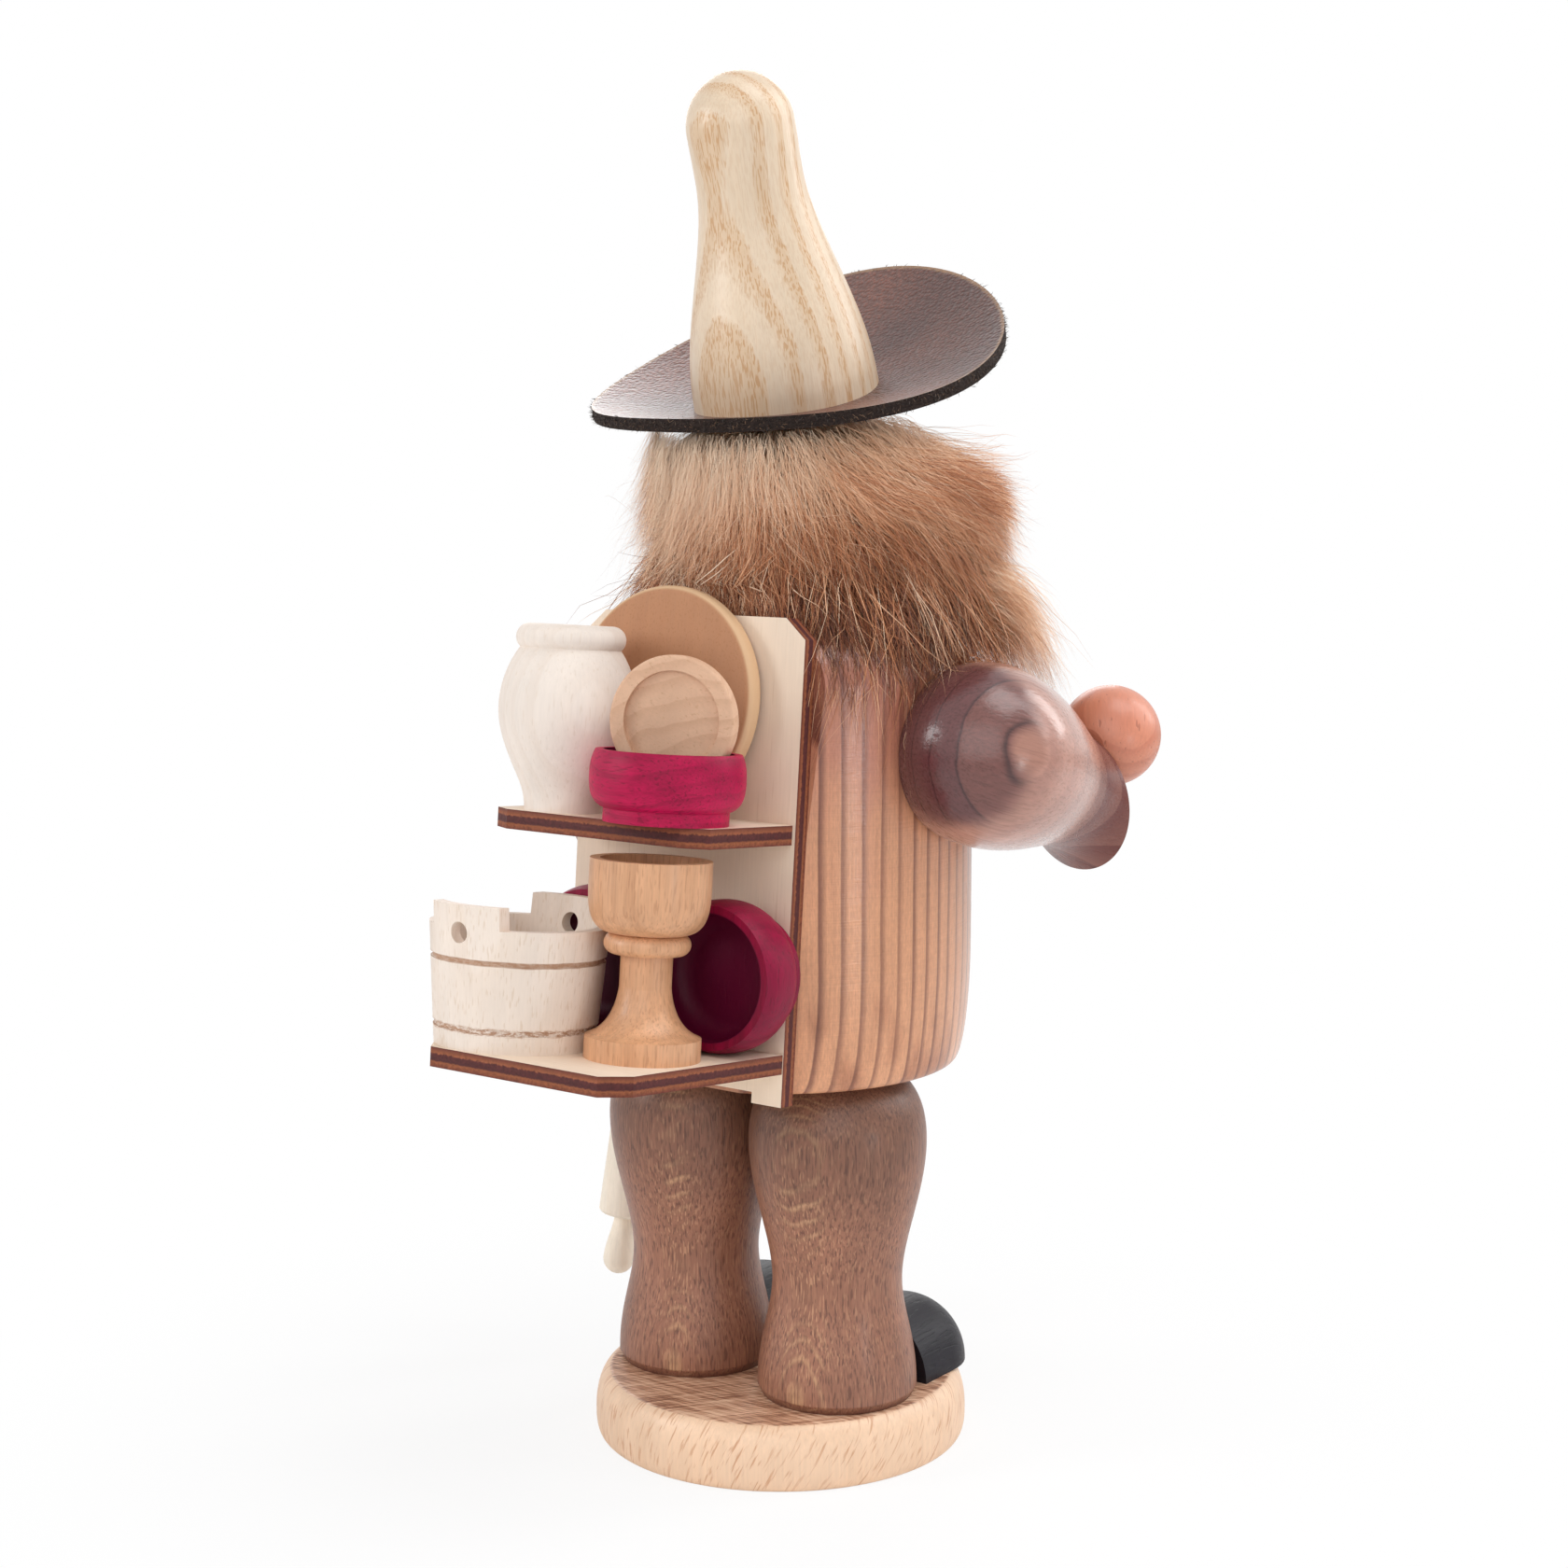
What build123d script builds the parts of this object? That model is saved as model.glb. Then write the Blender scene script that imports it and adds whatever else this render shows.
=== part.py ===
from build123d import *
import os
from math import cos, radians, sin, sqrt, tan

# German incense smoker: a pedlar with a pack of woodenware, turned in wood and glued up.
# Millimetres. The origin is the centre of the base's underside, +Z is up, the face looks to -Y
# and the pack hangs on the +Y side, so the figure's right hand is at -X.

# Clearances
glue_gap = 0.1
loose_gap = 0.3
soft_gap = 0.4

# Base and legs
base_radius = 30.9
base_height = 10.3
base_edge_width = 2.8
base_edge_drop = 6.4
base_foot_width = 0.9
base_foot_rise = 2.8
leg_length = 53.0
leg_spacing = 29.0
leg_setback = 4.3
leg_foot_radius = 13.0
leg_foot_band = 1.4
leg_waist_radius = 10.55
leg_waist_height = 18.4
leg_calf_radius = 14.35
leg_calf_height = 40.6
leg_top_radius = 9.5
leg_top_slope = 0.62
leg_dowel_radius = 3.0
leg_dowel_in_leg = 9.0
leg_dowel_in_base = 6.0
leg_dowel_in_hip = 4.6

# Shoes
shoe_radius = 10.9
shoe_toe_advance = 18.8
shoe_heel_advance = 10.0

# Hip plug that the hollow body sits on, with the dish for the incense cone
plug_radius = 22.2
plug_height = 8.4
plug_edge = 0.8
dish_radius = 13.0
dish_height = 4.0
dish_wall = 0.8
dish_seat_depth = 2.0
vent_radius = 1.9
vent_wall = 0.6

# Body
torso_radius = 31.2
torso_height = 71.4
torso_lift_gap = 0.34
torso_foot_width = 2.6
torso_foot_rise = 20.0
shoulder_round = 9.0
chamber_radius = 18.0
chamber_height = 36.0
smoke_bore_radius = 4.5
neck_radius = 6.5
neck_height = 6.0

# Head
head_radius = 19.5
head_seat_drop = 17.0
head_advance = 5.5
mouth_radius = 3.2
mouth_drop = 7.0
nose_radius = 3.9
nose_rise = 2.6
nose_sink = 1.2

# Hat, in a frame that leans back with it
hat_lean = 16.5
hat_hub_rise = 18.3
hat_hub_setback = 3.65
brim_radius = 34.2
brim_thickness = 2.0
brim_advance = 7.6
brim_left_shift = 2.5
brim_bend_radius = 80.0
brim_cross_bend_radius = 225.0
crown_height = 52.1
crown_base_radius = 15.0
crown_swell_radius = 14.2
crown_swell_height = 9.5
crown_neck_radius = 8.55
crown_neck_height = 33.5
crown_knob_radius = 8.5
hat_dowel_radius = 3.0
hat_dowel_in_crown = 12.0
hat_dowel_in_head = 7.0

# Arms, each in a frame along its own axis with the shoulder's centre as origin
arm_height = 51.9
arm_reach = 37.6
right_arm_advance = 2.0
left_arm_advance = 5.0
right_arm_angle = 18.0
left_arm_angle = 78.0
shoulder_radius = 14.4
sleeve_middle_radius = 11.9
sleeve_middle_along = 15.0
wrist_radius = 9.6
wrist_along = 28.0
cuff_radius = 12.9
cuff_flare = 0.35
cuff_along = 40.0
cuff_middle = 30.2
cuff_cut_angle = 27.0
shoulder_dowel_radius = 3.0
shoulder_dowel_in_torso = 6.0
shoulder_dowel_in_arm = 9.0

# Hands
hand_radius = 8.3
hand_flat = 0.6
hand_up = 8.3
hand_out = 2.8
hand_peg_radius = 1.75
hand_peg_in_hand = 5.0
hand_peg_in_arm = 7.0

# Rolling pin hanging from the left hand
pin_barrel_radius = 4.8
pin_barrel_length = 46.6
pin_barrel_edge = 0.5
pin_handle_length = 11.0
pin_handle_radius = 2.8
pin_handle_neck = 1.8
pin_lean_back = 8.0
pin_lean_out = 4.5
pin_grip_depth = 4.6

# Fur, as plain solids of the glued strips
hair_thickness = 7.0
hair_angle = 236.0
hair_above_board = 1.2
hair_top_rise = 8.5
beard_angle = 96.0
beard_bottom_below_shoulder = 4.0
beard_top_below_mouth = 1.2
beard_thickness = 12.5
moustache_half_length = 6.4
moustache_half_height = 2.1
moustache_droop_angle = 14.0

# Pack of thin plywood, in a frame that leans with its board
pack_lean = 5.1
plywood = 3.0
board_width = 42.7
board_height = 74.2
board_flat_depth = 4.9
board_foot_drop = 0.24
board_foot_width = 5.6
board_foot_height = 1.7
board_corner_across = 3.7
board_corner_down = 3.2
lower_shelf_height = 8.1
lower_shelf_depth = 37.6
lower_shelf_width = 42.4
lower_shelf_front_width = 38.6
lower_shelf_corner_across = 3.2
lower_shelf_corner_deep = 4.2
upper_shelf_height = 43.0
upper_shelf_depth = 22.4
upper_shelf_width = 41.6
upper_shelf_front_width = 41.2
upper_shelf_corner_across = 3.9
upper_shelf_corner_deep = 2.3

# Jar
jar_across = 11.0
jar_out = 16.0
jar_height = 28.5
jar_foot_radius = 6.0
jar_waist_radius = 7.7
jar_waist_height = 6.0
jar_belly_radius = 10.55
jar_belly_height = 14.8
jar_collar_radius = 8.4
jar_collar_roll = 2.1
jar_collar_start_angle = -48.0
jar_neck_slope = 1.4
jar_mouth_radius = 4.9
jar_depth = 16.0

# Plates
large_plate_across = 2.8
large_plate_radius = 17.6
large_plate_thickness = 3.2
large_plate_edge = 1.1
large_plate_lean = 4.0
small_plate_across = -10.9
small_plate_radius = 9.8
small_plate_thickness = 2.6
small_plate_rim = 2.3
small_plate_recess = 0.9
small_plate_edge = 0.5
small_plate_turn = 18.0

# Red bowls
bowl_height = 10.6
bowl_radius = 11.65
bowl_widest_height = 6.6
bowl_foot_radius = 9.4
bowl_foot_height = 2.0
bowl_rim_radius = 10.9
bowl_foot_slope = 0.35
bowl_rim_draw = 0.5
bowl_mouth_radius = 9.7
bowl_depth = 5.6
upper_bowl_across = -10.3
upper_bowl_out = 17.6
right_bowl_across = -14.4
left_bowl_across = 9.9

# Goblet
goblet_across = -9.9
goblet_out = 20.0
goblet_height = 29.6
goblet_foot_radius = 8.7
goblet_foot_height = 3.3
goblet_stem_radius = 3.9
goblet_stem_height = 10.6
goblet_ring_radius = 6.5
goblet_ring_edge = 5.5
goblet_foot_slope = 0.35
goblet_stem_draw = 0.12
goblet_cup_slope = 0.1
goblet_ring_height = 15.6
goblet_cup_radius = 9.1
goblet_cup_height = 18.6
goblet_mouth_radius = 7.6
goblet_depth = 7.5

# Tub with two ears
tub_across = 10.8
tub_out = 24.9
tub_height = 18.3
tub_foot_radius = 12.2
tub_rim_radius = 13.6
tub_wall = 1.9
tub_floor = 2.2
tub_ear_height = 3.4
tub_ear_width = 13.0
tub_ear_hole_radius = 1.6
tub_ear_hole_height = 17.6
tub_hoop_reach = 1.0
tub_hoop_depth = 0.35
tub_hoop_width = 0.8
tub_hoop_heights = (3.2, 13.4)

# Levels and places that follow from the sizes above
leg_x = leg_spacing / 2
hip_z = base_height + leg_length
plug_top_z = hip_z + plug_height
torso_z = hip_z + torso_lift_gap
torso_top_z = torso_z + torso_height
shoulder_z = torso_top_z - shoulder_round
chamber_top_z = plug_top_z + chamber_height
head_centre = Vector(0, -head_advance, torso_top_z + head_seat_drop)
mouth_z = head_centre.Z - mouth_drop
FLOOR = (Align.CENTER, Align.CENTER, Align.MIN)

# Frame of the pack: X across, Y outward from the board's outer face, Z up along it from its foot
lean = radians(pack_lean)
board_y = torso_radius - board_flat_depth + plywood / cos(lean)
pack_plane = Plane(
    origin=(0, board_y, torso_z - board_foot_drop),
    x_dir=(1, 0, 0),
    z_dir=(0, -sin(lean), cos(lean)),
)

# Frame of the hat: its origin is the middle of the crown's foot on the brim
tilt = radians(hat_lean)
hat_axis = Vector(0, sin(tilt), cos(tilt))
hat_hub = head_centre + Vector(0, hat_hub_setback, hat_hub_rise)
hat_plane = Plane(origin=hat_hub, x_dir=(1, 0, 0), z_dir=hat_axis)


def on_pack(shape):
    return pack_plane.location * shape


def on_hat(shape):
    return hat_plane.location * shape


def at(radius, height):
    """Point of a turned outline."""
    return (radius, height)


def rounded(radius, height, size, start):
    """Quarter round of a turned outline about a centre, from an angle in degrees."""
    return CenterArc(at(radius, height), size, start, 90)


def softened(radius, height, width, rise, start):
    """Quarter of an ellipse in a turned outline about a centre, from an angle in degrees."""
    return EllipticalCenterArc(at(radius, height), width, rise, start, arc_size=90)


def turned(*edges, arc=360, middle=0):
    """Solid turned about Z from a closed outline, or only an arc of it about an angle from +X."""
    solid = revolve(Plane.XZ * make_face(edges), Axis.Z, revolution_arc=arc)
    return Rot(0, 0, middle - arc / 2) * solid


def rod(radius, start, end):
    """Round rod between two points."""
    start = Vector(start)
    way = Vector(end) - start
    return Plane(origin=start, z_dir=way).location * Cylinder(radius, way.length, align=FLOOR)


def group(solids):
    return Compound(children=list(solids))


# Base, legs and shoes


def leg_places():
    return [Vector(side * leg_x, leg_setback, base_height) for side in (-1, 1)]


def base_dowels(radius):
    for place in leg_places():
        yield rod(radius, place - (0, 0, leg_dowel_in_base), place + (0, 0, leg_dowel_in_leg))


def hip_dowels(radius):
    for place in leg_places():
        top = place + (0, 0, leg_length)
        yield rod(radius, top - (0, 0, leg_dowel_in_leg), top + (0, 0, leg_dowel_in_hip))


def drilled(shape, *tools):
    """Shape with holes bored for dowels or left free for other pieces."""
    for tool in tools:
        shape = shape - tool
    return shape


def base_disc():
    foot = base_radius - base_foot_width
    top = base_radius - base_edge_width
    edge_z = base_height - base_edge_drop
    disc = turned(
        Line(at(0, 0), at(foot, 0)),
        softened(foot, base_foot_rise, base_foot_width, base_foot_rise, -90),
        Line(at(base_radius, base_foot_rise), at(base_radius, edge_z)),
        softened(top, edge_z, base_edge_width, base_edge_drop, 0),
        Line(at(top, base_height), at(0, base_height)),
        Line(at(0, base_height), at(0, 0)),
    )
    return drilled(disc, *base_dowels(leg_dowel_radius + glue_gap))


def leg_blank(grow=0.0):
    """One turned leg on the origin, made larger all round by grow."""
    foot = leg_foot_radius + grow
    side = Spline(
        at(foot, leg_foot_band),
        at(leg_waist_radius + grow, leg_waist_height),
        at(leg_calf_radius + grow, leg_calf_height),
        at(leg_top_radius + grow, leg_length),
        tangents=[(0, 1), (-1, leg_top_slope)],
    )
    return turned(
        Line(at(0, 0), at(foot - leg_foot_band / 2, 0)),
        Line(at(foot - leg_foot_band / 2, 0), at(foot, leg_foot_band)),
        side,
        Line(at(leg_top_radius + grow, leg_length), at(0, leg_length)),
        Line(at(0, leg_length), at(0, 0)),
    )


def leg(place):
    holes = [*base_dowels(leg_dowel_radius + glue_gap), *hip_dowels(leg_dowel_radius + glue_gap)]
    return drilled(Pos(place) * leg_blank(), *holes)


def shoe(place):
    """Half-round shoe in front of a leg, with its back hollowed to the leg."""
    toe = Vector(place.X, place.Y - shoe_toe_advance, base_height)
    heel = Vector(place.X, place.Y - shoe_heel_advance, base_height)
    last = Pos(toe) * Sphere(shoe_radius) + rod(shoe_radius, heel, toe)
    upper = split(last, bisect_by=Plane(origin=toe), keep=Keep.TOP)
    return upper - Pos(place) * leg_blank(glue_gap)


# Hip plug and incense dish


def hip_plug():
    plug = Cylinder(plug_radius, plug_height, align=FLOOR)
    plug = chamfer(plug.edges().filter_by(GeomType.CIRCLE).sort_by(Axis.Z)[-1], plug_edge)
    seat = Cylinder(dish_radius + loose_gap, dish_seat_depth, align=FLOOR)
    plug = plug - Pos(0, 0, plug_height - dish_seat_depth) * seat
    vent_reach = dish_radius + loose_gap + vent_wall + vent_radius
    for side in (-1, 1):
        plug = plug - Pos(0, side * vent_reach, 0) * Cylinder(vent_radius, plug_height, align=FLOOR)
    return drilled(Pos(0, 0, hip_z) * plug, *hip_dowels(leg_dowel_radius + glue_gap))


def incense_dish():
    dish = Cylinder(dish_radius, dish_height, align=FLOOR)
    dish = fillet(dish.edges().filter_by(GeomType.CIRCLE).sort_by(Axis.Z)[0], dish_wall)
    hollow = Cylinder(dish_radius - dish_wall, dish_height - dish_wall, align=FLOOR)
    dish = dish - Pos(0, 0, dish_wall) * hollow
    return Pos(0, 0, plug_top_z - dish_seat_depth) * dish


# Body


def neck_rod(radius, low, high):
    """Upright rod on the neck's axis, which is the head's."""
    return rod(radius, (0, head_centre.Y, low), (0, head_centre.Y, high))


def torso():
    """Hollow body: a step rests on the hip plug, and smoke rises through the neck."""
    foot = torso_radius - torso_foot_width
    foot_z = torso_z + torso_foot_rise
    shoulder = torso_radius - shoulder_round
    neck_top = torso_top_z + neck_height
    body = turned(
        Line(at(0, torso_z), at(foot, torso_z)),
        softened(foot, foot_z, torso_foot_width, torso_foot_rise, -90),
        Line(at(torso_radius, foot_z), at(torso_radius, shoulder_z)),
        rounded(shoulder, shoulder_z, shoulder_round, 0),
        Line(at(shoulder, torso_top_z), at(0, torso_top_z)),
        Line(at(0, torso_top_z), at(0, torso_z)),
    )
    body = body + neck_rod(neck_radius, torso_top_z, neck_top)
    body = body - rod(plug_radius + loose_gap, (0, 0, torso_z), (0, 0, plug_top_z))
    body = body - rod(chamber_radius, (0, 0, plug_top_z), (0, 0, chamber_top_z))
    body = body - neck_rod(smoke_bore_radius, chamber_top_z, neck_top)
    board_face = Plane(
        origin=pack_plane.origin - pack_plane.y_dir * plywood,
        z_dir=pack_plane.y_dir,
    )
    body = split(body, bisect_by=board_face, keep=Keep.BOTTOM)
    return drilled(body, *shoulder_dowels(shoulder_dowel_radius + glue_gap))


# Head


def head():
    """Ball head with a flat for the hat, a seat for the neck and a smoke channel to the mouth."""
    ball = Pos(head_centre) * Sphere(head_radius)
    ball = split(ball, bisect_by=Plane(origin=(0, 0, torso_top_z)), keep=Keep.TOP)
    under_brim = hat_hub - hat_axis * (brim_thickness + glue_gap)
    ball = split(ball, bisect_by=Plane(origin=under_brim, z_dir=hat_axis), keep=Keep.BOTTOM)
    seat_top = torso_top_z + neck_height + loose_gap
    ball = ball - neck_rod(neck_radius + glue_gap, torso_top_z, seat_top)
    ball = ball - neck_rod(smoke_bore_radius, seat_top, mouth_z + 2 * mouth_radius)
    lips = (0, head_centre.Y - head_radius, mouth_z)
    ball = ball - rod(mouth_radius, (0, head_centre.Y, mouth_z), lips)
    return ball - hat_peg(hat_dowel_radius + glue_gap)


def nose():
    reach = head_radius + nose_radius - nose_sink
    level = sqrt(reach**2 - nose_rise**2)
    ball = Pos(head_centre + Vector(0, -level, nose_rise)) * Sphere(nose_radius)
    return ball - Pos(head_centre) * Sphere(head_radius + glue_gap)


# Hat


def brim_bend(thickness):
    """Ring under whose lowest part the leather hangs, bent more along the hat than across it."""
    ring = Torus(brim_cross_bend_radius - brim_bend_radius, brim_bend_radius + thickness)
    return Pos(0, 0, brim_cross_bend_radius) * Rot(90, 0, 0) * ring


def hat_brim():
    disc = Pos(brim_left_shift, -brim_advance, 0) * Cylinder(brim_radius, brim_radius)
    leather = disc & brim_bend(brim_thickness)
    leather = leather - brim_bend(0)
    return on_hat(leather) - hat_peg(hat_dowel_radius + glue_gap)


def hat_crown():
    """Turned crown with a rounded knob, its foot shaped to the bent leather."""
    knob_z = crown_height - crown_knob_radius
    below = brim_thickness
    side = Spline(
        at(crown_base_radius, 0),
        at(crown_swell_radius, crown_swell_height),
        at(crown_neck_radius, crown_neck_height),
        at(crown_knob_radius, knob_z),
        tangents=[(0, 1), (0, 1)],
    )
    crown = turned(
        Line(at(0, -below), at(crown_base_radius, -below)),
        Line(at(crown_base_radius, -below), at(crown_base_radius, 0)),
        side,
        rounded(0, knob_z, crown_knob_radius, 0),
        Line(at(0, crown_height), at(0, -below)),
    )
    top = split(crown, bisect_by=Plane(origin=(0, 0, crown_swell_height)), keep=Keep.TOP)
    foot = split(crown, bisect_by=Plane(origin=(0, 0, crown_swell_height)), keep=Keep.BOTTOM)
    foot = foot & brim_bend(0)
    return on_hat(top + foot) - hat_peg(hat_dowel_radius + glue_gap)


def hat_peg(radius):
    low = hat_hub - hat_axis * (brim_thickness + hat_dowel_in_head)
    return rod(radius, low, hat_hub + hat_axis * hat_dowel_in_crown)


# Arms, hands and rolling pin


class ArmFrame:
    """Places of one arm: side is -1 for the figure's right, and pitch is how far it points down."""

    def __init__(self, side, advance, pitch):
        down = radians(pitch)
        self.side = side
        self.shoulder = Vector(side * arm_reach, -advance, torso_z + arm_height)
        self.axis = Vector(0, -cos(down), -sin(down))
        self.plane = Plane(origin=self.shoulder, x_dir=(1, 0, 0), z_dir=self.axis)
        cut = radians(cuff_cut_angle)
        upward = self.plane.y_dir
        self.normal = self.axis * cos(cut) + upward * sin(cut)
        along_face = upward * cos(cut) - self.axis * sin(cut)
        self.cuff = self.shoulder + self.axis * cuff_middle
        self.contact = self.cuff + along_face * hand_up + Vector(side * hand_out, 0, 0)
        self.hand = self.contact + self.normal * (hand_radius - hand_flat)

    def peg(self, radius):
        low = self.contact - self.normal * hand_peg_in_arm
        return rod(radius, low, self.contact + self.normal * hand_peg_in_hand)

    def dowel(self, radius):
        outer = self.side * (torso_radius + shoulder_dowel_in_arm)
        inner = self.side * (torso_radius - shoulder_dowel_in_torso)
        level = self.shoulder
        return rod(radius, (inner, level.Y, level.Z), (outer, level.Y, level.Z))


right = ArmFrame(-1, right_arm_advance, right_arm_angle)
left = ArmFrame(1, left_arm_advance, left_arm_angle)


def shoulder_dowels(radius):
    return [frame.dowel(radius) for frame in (right, left)]


def hand_pegs(radius):
    return [frame.peg(radius) for frame in (right, left)]


def arm(frame):
    """Turned sleeve with a round shoulder, hollowed to the body and cut off slanting at the cuff."""
    side = Spline(
        at(shoulder_radius, 0),
        at(sleeve_middle_radius, sleeve_middle_along),
        at(wrist_radius, wrist_along),
        at(cuff_radius, cuff_along),
        tangents=[(0, 1), (cuff_flare, 1)],
    )
    sleeve = turned(
        rounded(0, 0, shoulder_radius, -90),
        side,
        Line(at(cuff_radius, cuff_along), at(0, cuff_along)),
        Line(at(0, cuff_along), at(0, -shoulder_radius)),
    )
    sleeve = frame.plane.location * sleeve
    cut = Plane(origin=frame.cuff, z_dir=frame.normal)
    sleeve = split(sleeve, bisect_by=cut, keep=Keep.BOTTOM)
    sleeve = sleeve - rod(torso_radius + glue_gap, (0, 0, 0), (0, 0, torso_top_z + head_radius))
    holes = [frame.dowel(shoulder_dowel_radius + glue_gap), frame.peg(hand_peg_radius + glue_gap)]
    return drilled(sleeve, *holes)


def hand(frame):
    ball = Pos(frame.hand) * Sphere(hand_radius)
    face = Plane(origin=frame.contact, z_dir=frame.normal)
    ball = split(ball, bisect_by=face, keep=Keep.TOP)
    return ball - frame.peg(hand_peg_radius + glue_gap)


def pin_way():
    """Direction from the left hand down along the rolling pin."""
    return Vector(tan(radians(pin_lean_out)), tan(radians(pin_lean_back)), -1).normalized()


def pin_top():
    """Upper end of the rolling pin, inside the left hand."""
    return left.hand + pin_way() * (hand_radius - pin_grip_depth)


def pin_handle():
    """Handle on the origin, its neck below and its round end above."""
    end = pin_handle_length - pin_handle_radius
    return turned(
        Line(at(0, 0), at(pin_handle_neck, 0)),
        Spline(
            at(pin_handle_neck, 0),
            at(pin_handle_radius, end),
            tangents=[(0, 1), (0, 1)],
        ),
        rounded(0, end, pin_handle_radius, 0),
        Line(at(0, pin_handle_length), at(0, 0)),
    )


def rolling_pin():
    barrel = Cylinder(pin_barrel_radius, pin_barrel_length)
    barrel = chamfer(barrel.edges().filter_by(GeomType.CIRCLE), pin_barrel_edge)
    half = pin_barrel_length / 2
    pin = barrel + Pos(0, 0, half) * pin_handle()
    pin = pin + Pos(0, 0, -half) * Rot(180, 0, 0) * pin_handle()
    middle = pin_top() + pin_way() * (half + pin_handle_length)
    return Plane(origin=middle, z_dir=-pin_way()).location * pin


def left_hand():
    grip = rod(
        pin_handle_radius + glue_gap,
        pin_top() - pin_way() * glue_gap,
        pin_top() + pin_way() * 2 * pin_grip_depth,
    )
    return hand(left) - grip


# Fur


def hair_fur():
    """Strip of fur round the back and sides of the head, from the hat to the board's top."""
    inner = head_radius + soft_gap
    outer = head_radius + hair_thickness
    board_top_z = (on_pack(Pos(0, 0, board_height))).position.Z
    low = board_top_z + hair_above_board - head_centre.Z
    return Pos(head_centre) * turned(
        Line(at(inner, low), at(outer, low)),
        Line(at(outer, low), at(outer, 0)),
        Spline(at(outer, 0), at(inner, hair_top_rise), tangents=[(0, 1), (-1, 0)]),
        Line(at(inner, hair_top_rise), at(inner, low)),
        arc=hair_angle,
        middle=90,
    )


def beard_fur():
    """Pad of fur over the chest, below the mouth and clear of the body and the sleeves."""
    low = shoulder_z - beard_bottom_below_shoulder
    high = mouth_z - mouth_radius - beard_top_below_mouth
    chest = torso_radius + soft_gap
    chin = head_advance + head_radius + soft_gap
    front = chest + beard_thickness
    return turned(
        Line(at(chest, low), at(front, low)),
        Line(at(front, low), at(front, torso_top_z)),
        Line(at(front, torso_top_z), at(chin, high)),
        Line(at(chin, high), at(chin, torso_top_z + soft_gap)),
        Line(at(chin, torso_top_z + soft_gap), at(chest, shoulder_z + shoulder_round / 2)),
        Line(at(chest, shoulder_z + shoulder_round / 2), at(chest, low)),
        arc=beard_angle,
        middle=-90,
    )


def moustache_fur():
    """Two tufts under the nose, above the mouth."""
    level = (nose_rise - nose_radius - mouth_drop + mouth_radius) / 2
    face = Pos(head_centre) * Sphere(head_radius + soft_gap)
    reach = sqrt(head_radius**2 - level**2 - moustache_half_length**2)
    end = moustache_half_length - moustache_half_height
    roll = turned(
        rounded(0, -end, moustache_half_height, -90),
        Line(at(moustache_half_height, -end), at(moustache_half_height, end)),
        rounded(0, end, moustache_half_height, 0),
        Line(at(0, moustache_half_length), at(0, -moustache_half_length)),
    )
    tufts = []
    for side in (-1, 1):
        tuft = Rot(0, 90 + side * moustache_droop_angle, 0) * roll
        place = head_centre + Vector(side * (moustache_half_length + soft_gap), -reach, level)
        tufts.append(Pos(place) * tuft - face)
    return group(tufts)


# Pack


def outline(*points):
    return make_face(Polyline(*points, close=True))


def pack_board():
    half = board_width / 2
    inner = half - board_foot_width
    corner = half - board_corner_across
    eave = board_height - board_corner_down
    face = outline(
        (-half, 0), (-inner, 0), (-inner, board_foot_height),
        (inner, board_foot_height), (inner, 0), (half, 0),
        (half, eave), (corner, board_height), (-corner, board_height), (-half, eave),
    )
    return on_pack(extrude(Plane.XZ * face, amount=plywood, dir=(0, -1, 0)))


def shelf(height, depth, width, front_width, across, deep):
    """Shelf with its top at a height on the board and two cut outer corners."""
    back = width / 2
    front = front_width / 2
    face = outline(
        (-back, 0), (back, 0), (front, depth - deep), (front - across, depth),
        (across - front, depth), (-front, depth - deep),
    )
    return on_pack(Pos(0, 0, height - plywood) * extrude(face, amount=plywood, dir=(0, 0, 1)))


def lower_shelf():
    return shelf(
        lower_shelf_height, lower_shelf_depth, lower_shelf_width,
        lower_shelf_front_width, lower_shelf_corner_across, lower_shelf_corner_deep,
    )


def upper_shelf():
    return shelf(
        upper_shelf_height, upper_shelf_depth, upper_shelf_width,
        upper_shelf_front_width, upper_shelf_corner_across, upper_shelf_corner_deep,
    )


# Wares


def jar():
    roll_radius = jar_collar_radius - jar_collar_roll
    roll_centre = at(roll_radius, jar_height - jar_collar_roll)
    collar = CenterArc(roll_centre, jar_collar_roll, jar_collar_start_angle, 90 - jar_collar_start_angle)
    side = Spline(
        at(jar_foot_radius, 0),
        at(jar_waist_radius, jar_waist_height),
        at(jar_belly_radius, jar_belly_height),
        collar @ 0,
        tangents=[(0, 1), (-1, jar_neck_slope)],
    )
    body = turned(
        Line(at(0, 0), at(jar_foot_radius, 0)),
        side,
        collar,
        Line(at(roll_radius, jar_height), at(0, jar_height)),
        Line(at(0, jar_height), at(0, 0)),
    )
    hollow = Cylinder(jar_mouth_radius, jar_depth, align=FLOOR)
    body = body - Pos(0, 0, jar_height - jar_depth) * hollow
    return on_pack(Pos(jar_across, jar_out, upper_shelf_height) * body)


def large_plate():
    """Flat plate that stands on the upper shelf and leans on the board's top edge."""
    plate = Cylinder(large_plate_radius, large_plate_thickness, align=FLOOR)
    plate = fillet(plate.edges().filter_by(GeomType.CIRCLE), large_plate_edge)
    lean_back = radians(large_plate_lean)
    up = upper_shelf_height + large_plate_radius * cos(lean_back) + glue_gap
    out = (board_height - up) * tan(lean_back) + glue_gap
    back = Plane(
        origin=(large_plate_across, out, up),
        x_dir=(1, 0, 0),
        z_dir=(0, cos(lean_back), sin(lean_back)),
    )
    return on_pack(back.location * plate)


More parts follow.
